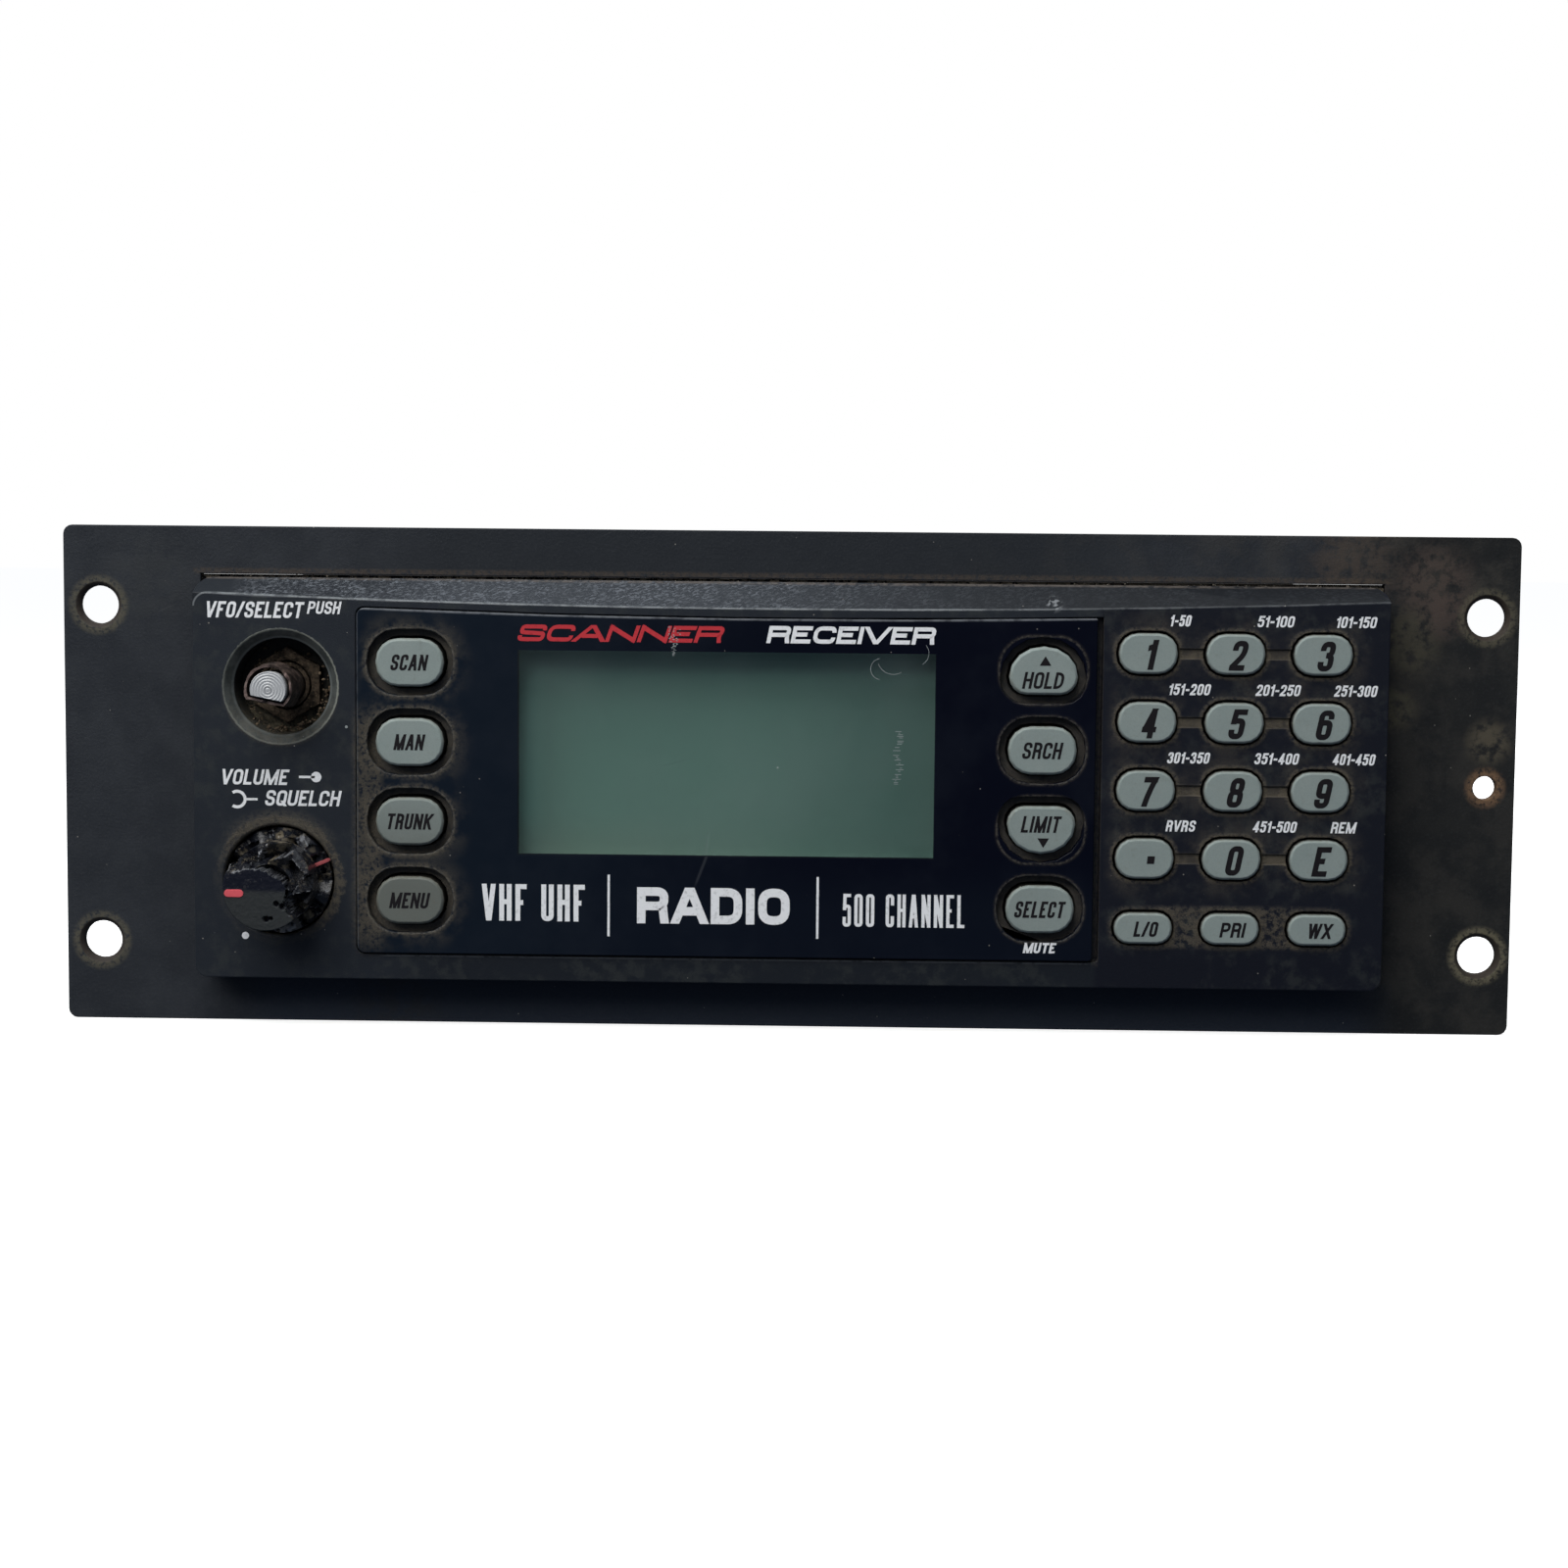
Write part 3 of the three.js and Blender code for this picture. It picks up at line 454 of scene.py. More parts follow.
def faceplate_paint():
    """Black powder coat: bluish and clean at the left, browner and blotched towards the upper right."""
    paint = Paint("powder_coat", specular=0.22)
    grain = paint.noise(2.4, 4, 0.65)
    mottle = paint.noise(0.45, 5, 0.65)
    patchy = paint.patches(0.35, 0.7, 0.11, 5, 0.62)
    right = paint.x.smooth(78, 96)
    upper_right = paint.x.smooth(8, 104) * paint.z.smooth(27, 34)
    paint.colour = paint.mix(patchy, (0.0160, 0.0190, 0.0245), (0.0250, 0.0285, 0.0345))
    paint.coat(paint.mix(patchy, (0.0085, 0.0095, 0.0105), (0.0150, 0.0155, 0.0150)), right)
    # painted light: a bluish tint on the strip under the bezel, for the fill light in the bezel's shadow
    below = paint.strip(-82, 90, 5) * paint.z.smooth(-29.5, -31)
    paint.coat((0.019, 0.026, 0.04), below * 0.8)
    above = paint.strip(-60, 50, 12) * paint.z.smooth(30.5, 32)
    paint.coat((0.012, 0.015, 0.0195), above * 0.8)
    dirt = (right * 0.55 | upper_right * 0.8) * paint.patches(0.44, 0.62, 0.09, 5, 0.68)
    paint.coat(DUN, dirt * 0.45)
    for x, z, radius, tint, amount in (
            (98, 31, 8, (0.070, 0.052, 0.043), 0.75), (94, 22, 7, (0.075, 0.067, 0.045), 0.60),
            (92.5, 12, 4.5, (0.075, 0.067, 0.045), 0.75), (107, 7, 4.5, (0.085, 0.072, 0.050), 0.85),
            (100, 26, 5, (0.070, 0.050, 0.042), 0.55), (-98, 30, 10, (0.030, 0.033, 0.036), 0.60),
            (86, 34, 9, (0.060, 0.047, 0.038), 0.70), (-60, -36, 10, (0.024, 0.026, 0.030), 0.70)):
        paint.coat(tint, paint.stain(x, z, radius, mottle.smooth(0.36, 0.56)) * amount)
    speckled = paint.patches(0.34, 0.56, 1.3, 5, 0.65)
    for x in HOLE_X:
        for z in (-HOLE_Z, HOLE_Z):
            gap = paint.radius(x, z)
            ring = gap.smooth(5.0, 3.9) * gap.smooth(3.3, 3.6) * speckled
            paint.coat((0.13, 0.115, 0.075), ring * (0.9 if x > 0 > z else 0.5))
            paint.coat((0.045, 0.034, 0.025), gap.smooth(3.6, 3.4) * 0.7)
    rust = paint.radius(LOCATING_HOLE_X, 0).smooth(3.6, 2.2) * speckled
    paint.coat((0.17, 0.1, 0.055), rust * 0.9)
    edge = paint.strip(-91, 91.5, 0.5) * paint.strip(30.9, 31.7, 0.25, "z")
    paint.coat((0.075, 0.055, 0.038), edge * speckled * 0.45)
    paint.coat((0.11, 0.11, 0.11), paint.strokes(24, 0.8, 0.74) * 0.3)
    paint.coat(PALE, paint.specks(0.55, 0.07, 0.57) * 0.65)
    paint.coat((0.045, 0.048, 0.052), grain.smooth(0.5, 0.78) * 0.3)
    paint.bump(grain, 0.09)
    paint.bump(mottle, 0.05)
    return paint.done(mottle.blend(0.55, 0.8))


def bezel_paint():
    """Navy-black moulding: scuffed along its sloped band, dusty round the controls and keys."""
    paint = Paint("bezel_plastic", specular=0.22)
    cloud = paint.noise(0.12, 5, 0.62)
    mottle = paint.noise(0.5, 5, 0.65)
    paint.colour = paint.mix(cloud, (0.0115, 0.0145, 0.0205), (0.0185, 0.0225, 0.0290))
    # painted shade: the face darker towards its bottom edge, below the lens and keypad
    paint.coat((0.0085, 0.011, 0.0155), paint.z.smooth(-24, -27) * paint.x.smooth(-66, -50))
    paint.coat((0.0042, 0.0052, 0.0105), paint.x.smooth(46.5, 47.5) * 0.85)
    grey_green = mottle.smooth(0.42, 0.62) * cloud.smooth(0.42, 0.6)
    paint.coat((0.036, 0.04, 0.038), grey_green * 0.38)
    # the sloped band along the top
    above_line = paint.z - BAND_MIDDLE - paint.x * paint.x * BAND_RISE
    corner_x, corner_z, corner_radius = -87.4, 26.0, 2.05
    in_corner = paint.x.smooth(-87.3, -87.45) * paint.z.smooth(25.95, 26.1)
    above = in_corner.blend(above_line, paint.radius(corner_x, corner_z) - corner_radius)
    in_front = paint.y.smooth(0.8, -0.8)
    band = above.smooth(-0.05, 0.15) * paint.strip(-89.7, 89.6, 0.2) * in_front
    paint.coat(paint.mix(paint.x.smooth(62, -20), (0.0070, 0.0080, 0.0100), (0.0115, 0.0140, 0.0180)), band)
    chewed = paint.x.smooth(34, -24).blend(0.12, 1.0) * paint.x.smooth(-84.5, -81.5)
    tears = paint.patches(0.47, 0.62, 2.6, 3, 0.6, where=paint.turned(38, (0.11, 1, 1)), distortion=0.25)
    tears = tears * paint.patches(0.34, 0.56, 0.22, 4, 0.6)
    fine = paint.patches(0.50, 0.64, 4.2, 3, 0.6, where=paint.turned(30, (0.2, 1, 1)))
    wear = band * chewed * (tears | fine * 0.45)
    paint.coat((0.06, 0.068, 0.08), band * chewed * paint.x.smooth(-66, -50) * 0.28)
    paint.coat((0.12, 0.132, 0.15), wear * 0.62)
    nick = paint.stain(40.0, 27.5, 1.5, 1.0) * paint.strokes(60, 1.6, 0.52)
    paint.coat((0.17, 0.18, 0.19), nick * 0.8)
    # painted highlight along the band's lower edge, broken in patches and fainter towards the right
    lower_edge = above.smooth(-0.16, -0.04) * above.smooth(0.24, 0.1)
    band_edge_glint = paint.patches(0.36, 0.56, 0.5, 5, 0.7).blend(0.35, 1.0)
    band_edge_glint = band_edge_glint * paint.x.smooth(50, 20).blend(0.35, 1.0)
    paint.coat((0.2, 0.215, 0.225), lower_edge * band_edge_glint * 0.65)
    back_edge = paint.y.smooth(-3.1, -2.7) * in_front * paint.z.smooth(28, 29)
    paint.coat((0.105, 0.088, 0.076), back_edge * paint.patches(0.36, 0.56, 0.7, 4, 0.6) * 0.6)
    # painted highlight: a faint light line along the groove under the lens, in patches
    under_lens = paint.strip(-26.84, -26.62, 0.06, "z") * paint.strip(-61, 46, 1)
    paint.coat((0.06, 0.066, 0.075), under_lens * paint.patches(0.36, 0.52, 0.8, 5, 0.7) * 0.6)
    # the two wells
    encoder = paint.radius(ENCODER_X, ENCODER_Z)
    pot = paint.radius(POT_X, POT_Z)
    chamfer = encoder.smooth(WELL_RIM + 0.1, WELL_RIM) * encoder.smooth(WELL - 0.05, WELL + 0.1)
    paint.coat(paint.mix(mottle.smooth(0.36, 0.62), (0.044, 0.05, 0.048), (0.078, 0.086, 0.082)),
               chamfer * 0.85)
    # painted highlights on the outer edge of the encoder well's chamfer and on its inner lip, brighter
    # towards the upper right
    ragged = encoder + paint.noise(1.6, 4, 0.7) * 0.5
    outline = ragged.smooth(WELL_RIM + 0.42, WELL_RIM + 0.3) * ragged.smooth(WELL_RIM + 0.02, WELL_RIM + 0.14)
    inner_lip = encoder.smooth(WELL + 0.45, WELL + 0.2) * encoder.smooth(WELL - 0.05, WELL + 0.1)
    facing = (paint.x - ENCODER_X + (paint.z - ENCODER_Z)).smooth(-6, 6).blend(0.45, 1.0)
    paint.coat((0.22, 0.23, 0.2), outline * facing * 0.8)
    paint.coat((0.17, 0.19, 0.19), inner_lip * facing * 0.55)
    # inside the wells: near-black painted shade, under tan silt that lies thicker towards the bottom
    inside = encoder.smooth(WELL + 0.05, WELL - 0.1) | pot.smooth(8.45, 8.3)
    silt = paint.patches(0.36, 0.62, 0.9, 5, 0.7)
    silt = silt * paint.z.smooth(ENCODER_Z + 2, ENCODER_Z - 6).blend(0.12, 1.0)
    paint.coat(paint.mix(silt, (0.0045, 0.0038, 0.003), (0.125, 0.11, 0.07)), inside)
    # the moats round the side keys: brown-grey dust, painted paler to lift the shade in them
    moats = paint.math("MINIMUM", paint.key_gap(*LEFT_GRID), paint.key_gap(*RIGHT_GRID))
    moat = moats.smooth(1.6, 1.4) * mottle.smooth(0.36, 0.56).blend(0.5, 1.0)
    paint.coat((0.075, 0.067, 0.056), moat * 0.9)
    dust = front_dust(paint) | channel_dust(paint)
    paint.coat(DUST, dust * 0.66)
    paint.coat(PALE, paint.specks(0.5, 0.07, 0.55) * 0.75)
    paint.bump(paint.noise(7.0, 3), 0.03)
    paint.bump(wear * -1, 0.08)
    paint.bump(dust * paint.noise(3.0, 4), 0.14)
    return paint.done((dust | wear).blend(0.45, 0.85))


def channel_dust(paint):
    """Dust packed in the shallow channels that join neighbouring keys."""
    first, last, _, rows = KEYPAD_GRID
    x0, _, z0 = middle_mm(first)
    x1, _, z1 = middle_mm(last)
    away = paint.math("ABSOLUTE", paint.nearest(paint.z, z0, z1, rows))
    inside = away.smooth(1.0, 0.6) * paint.inside_box(x0 + 4, x1 - 4, z1 - 2, z0 + 2, 0.3)
    return inside * paint.patches(0.4, 0.62, 0.35, 3).blend(0.45, 1.0)


def lens_paint():
    """The glossy panel where it is printed dark behind."""
    paint = Paint("lens_dark", specular=0.14)
    cloud = paint.noise(0.06, 4, 0.65)
    left = paint.x.smooth(12, -62)
    paint.colour = paint.mix(left, (0.0013, 0.0020, 0.0070), (0.0055, 0.0098, 0.0170))
    low_part = paint.z.smooth(-10, -20) * left.smooth(0.9, 0.5)
    paint.coat((0.0045, 0.0072, 0.0135), low_part * 0.6)
    paint.coat((0.011, 0.015, 0.023), cloud.smooth(0.42, 0.68) * left.blend(0.2, 0.4))
    dust = front_dust(paint)
    paint.coat(DUST, dust * 0.6)
    paint.coat(PALE, paint.specks(0.45, 0.06, 0.56) * 0.6)
    paint.coat((0.2, 0.21, 0.23), paint.strokes(70, 0.5, 0.73) * 0.1)
    moats = paint.math("MINIMUM", paint.key_gap(*LEFT_GRID), paint.key_gap(*RIGHT_GRID))
    lip = moats.smooth(1.25, 1.35) * moats.smooth(1.72, 1.56) * paint.patches(0.4, 0.6, 1.5, 5, 0.7)
    paint.coat((0.13, 0.12, 0.1), lip * paint.x.smooth(20, -20).blend(0.3, 0.5))
    # painted highlight along the lens's top edge and, fainter, its left edge, broken in patches
    top_rim = (paint.z - paint.x * paint.x * LENS_ARCH).smooth(LENS_TOP - 0.34, LENS_TOP - 0.22)
    left_rim = paint.x.smooth(LENS_LEFT + 0.3, LENS_LEFT + 0.18) * 0.45
    rim = (top_rim | left_rim) * paint.patches(0.34, 0.54, 0.6, 4, 0.6).blend(0.4, 1.0)
    paint.coat((0.15, 0.16, 0.175), rim * 0.6)
    paint.bump(paint.noise(1.2, 3), 0.012)
    paint.bump(dust * paint.noise(3.0, 4), 0.08)
    return paint.done((dust | cloud * 0.35).blend(0.22, 0.8))


def window_paint():
    """The clear part of the panel over the display, with fine hairlines and a light haze."""
    paint = Paint("lens_clear", specular=0.12)
    hair = paint.strokes(80, 0.4, 0.74) | paint.strokes(15, 0.5, 0.77)
    haze = paint.patches(0.35, 0.7, 0.05, 4, 0.6) * 0.05
    alpha = haze + (hair * 0.12 + 0.03)
    paint.colour = (0.22, 0.27, 0.27)
    return paint.done(0.28, alpha)


def display_paint():
    """A switched-off display, grey-green, with its light and shade painted on: darker towards the right, lit
    along its upper and left edges, lighter at the lower left.
    """
    paint = Paint("lcd_panel", specular=0.25)
    low, high = (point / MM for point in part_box("lcd_glass"))
    rise = paint.z.smooth(low.z + 3, high.z - 1)
    paint.colour = paint.mix(rise, (0.082, 0.165, 0.132), (0.074, 0.158, 0.128))
    # painted shade towards the right edge
    paint.coat((0.02, 0.07, 0.055), paint.x.smooth(high.x - 34, high.x - 1) * 0.74)
    shade = paint.z.smooth(high.z - 7, high.z - 2) | paint.x.smooth(low.x + 3.4, low.x + 2.2)
    paint.coat((0.022, 0.062, 0.058), shade * 0.06)
    lit = paint.z.smooth(high.z - 9, high.z - 2.5) | paint.x.smooth(low.x + 7, low.x + 2.5)
    paint.coat((0.11, 0.25, 0.205), lit * 0.8)
    # painted light at the lower left
    lower = paint.z.smooth(low.z + 9, low.z + 2) * paint.x.smooth(high.x - 20, low.x + 10)
    paint.coat((0.115, 0.175, 0.135), lower * 0.45)
    paint.coat((0.2, 0.28, 0.25), paint.noise(9.0, 3, 0.7) * 0.16)
    return paint.done(0.4)


def key_paint():
    """Pale grey-green plastic, grimy towards its rim and dark in the gap round it."""
    paint = Paint("key_plastic", specular=0.25)
    paint.colour = paint.mix(paint.noise(0.25, 4), (0.212, 0.258, 0.246), (0.262, 0.302, 0.284))
    paint.coat((0.15, 0.18, 0.18), paint.patches(0.42, 0.7, 4.5, 4, 0.7) * 0.22)
    # painted shade: the keys darker towards the lower left
    lower_left_shade = paint.z.smooth(6, -18) * paint.x.smooth(60, -50)
    paint.coat((0.105, 0.112, 0.098), lower_left_shade * 0.9)
    grime = paint.patches(0.54, 0.76, 0.9, 5, 0.65)
    paint.coat((0.12, 0.1, 0.07), grime * 0.16)
    nearest = paint.key_gap(*KEYPAD_GRID)
    for grid in (LEFT_GRID, RIGHT_GRID, FUNCTION_GRID):
        nearest = paint.math("MINIMUM", nearest, paint.key_gap(*grid))
    edge = nearest.smooth(-0.5, 0.0) * paint.patches(0.28, 0.6, 1.3, 4, 0.6)
    paint.coat((0.1, 0.08, 0.05), edge * 0.42)
    paint.coat((0.02, 0.017, 0.014), paint.y.smooth(-8.15, -7.85) * 0.92)
    paint.bump(paint.noise(11.0, 2), 0.02)
    return paint.done(grime.blend(0.5, 0.7))


def ink_paint(name, colour, wear=0.0):
    """Printing ink; wear is how far it is rubbed away in patches."""
    paint = Paint(name, specular=0.2)
    paint.colour = colour
    paint.coat([0.7 * c for c in colour], paint.noise(3.0, 3) * 0.25)
    paint.coat([0.3 * c for c in colour], paint.patches(0.52, 0.7, 1.8, 4, 0.65) * wear)
    return paint.done(0.6)


def metal_paint(name, colour, roughness, dirt=0.3):
    """Plated or bare metal, spotted with dirt."""
    paint = Paint(name, metallic=1.0)
    spots = paint.patches(0.62 - dirt * 0.3, 0.75, 0.8, 5, 0.65)
    paint.colour = paint.mix(paint.noise(0.4, 3), [0.75 * c for c in colour], colour)
    paint.coat(DARK_DIRT, spots * dirt)
    paint.bump(paint.noise(4.0, 3), 0.012)
    return paint.done(spots.blend(roughness, 0.75))


def caked_paint():
    """Metal under years of brown dust."""
    paint = Paint("caked_metal", specular=0.2)
    paint.colour = paint.mix(paint.patches(0.36, 0.62, 0.9, 5, 0.7), (0.012, 0.009, 0.006),
                             (0.085, 0.062, 0.042))
    paint.coat((0.16, 0.12, 0.08), paint.patches(0.56, 0.66, 1.7, 4, 0.7) * 0.6)
    paint.bump(paint.noise(1.5, 5, 0.7), 0.35)
    return paint.done(0.85)


def shaft_paint():
    """Turned aluminium: fine rings and a centre mark on its end, brown down its sides."""
    paint = Paint("turned_metal", metallic=0.35, specular=0.5)
    gap = paint.radius(ENCODER_X, ENCODER_Z)
    rings = paint.math("SINE", gap * 15.0)
    paint.colour = paint.mix(paint.noise(1.0, 3), (0.46, 0.47, 0.48), (0.60, 0.61, 0.61))
    paint.coat((0.26, 0.27, 0.28), rings.smooth(-0.2, 0.9) * 0.22)
    paint.coat((0.16, 0.16, 0.17), gap.smooth(0.62, 0.5) * gap.smooth(0.3, 0.42) * 0.6)
    paint.coat((0.07, 0.048, 0.036), paint.y.smooth(-16.5, -12.5) * 0.9)
    paint.bump(rings, 0.02)
    return paint.done(0.45)


def sleeve_paint():
    """Torn brown plastic, cracked and dusty, with a paler broken edge."""
    paint = Paint("torn_sleeve", specular=0.3)
    paint.colour = paint.mix(paint.patches(0.36, 0.62, 0.8, 5, 0.65), (0.010, 0.0065, 0.005),
                             (0.055, 0.038, 0.031))
    crack = paint.cells(0.55, feature="DISTANCE_TO_EDGE").smooth(0.07, 0.02)
    paint.coat((0.008, 0.005, 0.004), crack * 0.8)
    paint.coat((0.2, 0.14, 0.125), paint.y.smooth(-15.75, -16.0) * 0.6)
    paint.bump(paint.noise(1.6, 4), 0.2)
    return paint.done(0.55)


def knob_paint():
    """Gloss black plastic: caked with tan dirt in places; what is left of the face is navy, grey-green on its
    lower part, and broken edges carry painted highlights.
    """
    paint = Paint("knob_plastic", specular=0.45)
    grain = paint.noise(1.2, 5, 0.65)
    paint.colour = paint.mix(grain.smooth(0.42, 0.66), (0.0035, 0.0038, 0.007), (0.02, 0.022, 0.026))
    clods = paint.patches(0.55, 0.64, 0.5, 5, 0.7)
    above = paint.z.smooth(POT_Z - 2, POT_Z + 7)
    paint.coat((0.15, 0.125, 0.085), clods * above.blend(0.25, 0.75))
    on_face = paint.y.smooth(-18.1, -18.3)
    lower = on_face * paint.z.smooth(POT_Z + 0.1, POT_Z - 0.9)
    paint.coat((0.0042, 0.0048, 0.0105), on_face * 0.9)
    paint.coat(paint.mix(grain, (0.0095, 0.0125, 0.013), (0.0165, 0.02, 0.0205)), lower * 0.9)
    # stored on the broken parts: below 0 where tan dirt is caked, above 0 where a highlight is painted on a
    # broken edge
    edge_glint_and_dirt = paint.attribute("glint_and_caked_dirt")
    paint.coat((0.16, 0.135, 0.095), edge_glint_and_dirt.smooth(-0.2, -0.8) * 0.8)
    paint.coat((0.24, 0.25, 0.27), edge_glint_and_dirt.smooth(0.1, 0.9) * 0.6)
    paint.bump(grain, 0.12)
    return paint.done((clods | lower).blend(0.26, 0.7))


def plain_paint(name, dark, light, roughness=0.6, scale=0.5, relief=0.05, specular=0.4):
    """A moulded or painted surface with a soft change of shade and a fine texture."""
    paint = Paint(name, specular=specular)
    paint.colour = paint.mix(paint.noise(scale, 4, 0.6), dark, light)
    paint.bump(paint.noise(3.0, 3), relief)
    return paint.done(paint.noise(scale * 2).blend(roughness - 0.1, roughness + 0.15))


def cabinet_paint():
    """Black wrinkle paint, rubbed and dusty."""
    paint = Paint("wrinkle_paint", specular=0.4)
    wrinkle = paint.cells(1.1, feature="SMOOTH_F1")
    dust = paint.patches(0.42, 0.7, 0.05, 5, 0.65) * 0.5
    paint.colour = paint.mix(dust, (0.016, 0.016, 0.018), (0.06, 0.055, 0.047))
    paint.coat((0.16, 0.16, 0.16), paint.strokes(30, 0.5, 0.74) * 0.3)
    paint.bump(wrinkle, 0.18)
    return paint.done(dust.blend(0.5, 0.8))


def seal_paint():
    """Near-black painted shade for the gap round the radio, with pale and tan dust caught in it."""
    paint = Paint("foam_seal", specular=0.2)
    bits = paint.noise(0.9, 5, 0.7)
    upper = paint.z.smooth(29, 30)
    bits = bits + paint.x.smooth(0, 45) * 0.1
    share = upper * bits.smooth(0.46, 0.54)
    cream = paint.mix(paint.noise(0.7, 3), (0.10, 0.065, 0.04), (0.34, 0.30, 0.23))
    paint.colour = paint.mix(share * 0.75, (0.006, 0.006, 0.007), cream)
    paint.bump(bits, 0.3)
    return paint.done(0.85)


# ------------------------------------------------------------------ making pieces

def piece_from(bm, name, body, material, replaces=(), sharp=35):
    mesh = bpy.data.meshes.new(name)
    bm.normal_update()
    bm.to_mesh(mesh)
    bm.free()
    for polygon in mesh.polygons:
        polygon.use_smooth = True
    mesh.set_sharp_from_angle(angle=math.radians(sharp))
    piece = bpy.data.objects.new(name, mesh)
    scene.collection.objects.link(piece)
    for one in material if isinstance(material, (list, tuple)) else [material]:
        mesh.materials.append(one)
    shading = piece.modifiers.new("even_shading", "WEIGHTED_NORMAL")
    shading.keep_sharp = True
    shading.weight = 100
    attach(piece, body)
    if replaces:
        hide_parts(*replaces)
    return piece


def cad_copy(node):
    """The CAD part's mesh, with its flat regions made whole again."""
    bm = bmesh.new()
    bm.from_mesh(nodes[node].data)
    bmesh.ops.remove_doubles(bm, verts=bm.verts, dist=1e-6)
    bmesh.ops.dissolve_limit(bm, angle_limit=math.radians(0.6), verts=bm.verts, edges=bm.edges)
    return bm


def round_edges(bm, width, segments=2, angle=32):
    bm.normal_update()
    hard = [e for e in bm.edges if e.is_manifold and e.calc_face_angle(0) > math.radians(angle)]
    bmesh.ops.bevel(bm, geom=hard, offset=width * MM, segments=segments, profile=0.5, affect="EDGES")


def softened(node, name, material, width, segments=2, angle=32, sharp=35):
    """Stands for a CAD part: the same shape with its hard edges rounded."""
    bm = cad_copy(node)
    round_edges(bm, width, segments, angle)
    return piece_from(bm, name, body_of(node), material, (node,), sharp)


def lumpy(node, name, material, step, depth):
    """Stands for a CAD part that is caked with dirt: the same shape with an uneven surface."""
    bm = bmesh.new()
    bm.from_mesh(nodes[node].data)
    bmesh.ops.remove_doubles(bm, verts=bm.verts, dist=1e-6)
    for _ in range(4):
        long = [e for e in bm.edges if e.calc_length() > step * MM]
        if long:
            bmesh.ops.subdivide_edges(bm, edges=long, cuts=1, use_grid_fill=True)
    bmesh.ops.triangulate(bm, faces=bm.faces)
    bm.normal_update()
    for vert in bm.verts:
        swell = noise.noise(vert.co / MM * 0.8) + 0.5 * noise.noise(vert.co / MM * 2.3)
        vert.co += vert.normal * swell * depth * MM
    return piece_from(bm, name, body_of(node), material, (node,), 60)


def dress(node, material):
    nodes[node].data.materials.clear()
    nodes[node].data.materials.append(material)


def lens_piece():
    """The glossy panel: dark all over, clear where it covers the display."""
    bm = cad_copy("display_lens")
    round_edges(bm, 0.2)
    low, high = (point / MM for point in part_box("lcd_glass"))
    margin = 2.2
    left, right, bottom, top = low.x + margin, high.x - margin, low.z + margin, high.z - margin
    for x, z in ((left, 0), (right, 0), (0, bottom), (0, top)):
        geometry = bm.verts[:] + bm.edges[:] + bm.faces[:]
        facing = (1, 0, 0) if x else (0, 0, 1)
        bmesh.ops.bisect_plane(bm, geom=geometry, plane_co=(x * MM, 0, z * MM), plane_no=facing)
    for face in bm.faces:
        centre = face.calc_center_median() / MM
        if left < centre.x < right and bottom < centre.z < top:
            face.material_index = 1
    piece_from(bm, "lens_panel", ROOT, [lens_paint(), window_paint()], ("display_lens",))


# ------------------------------------------------------------------ printing

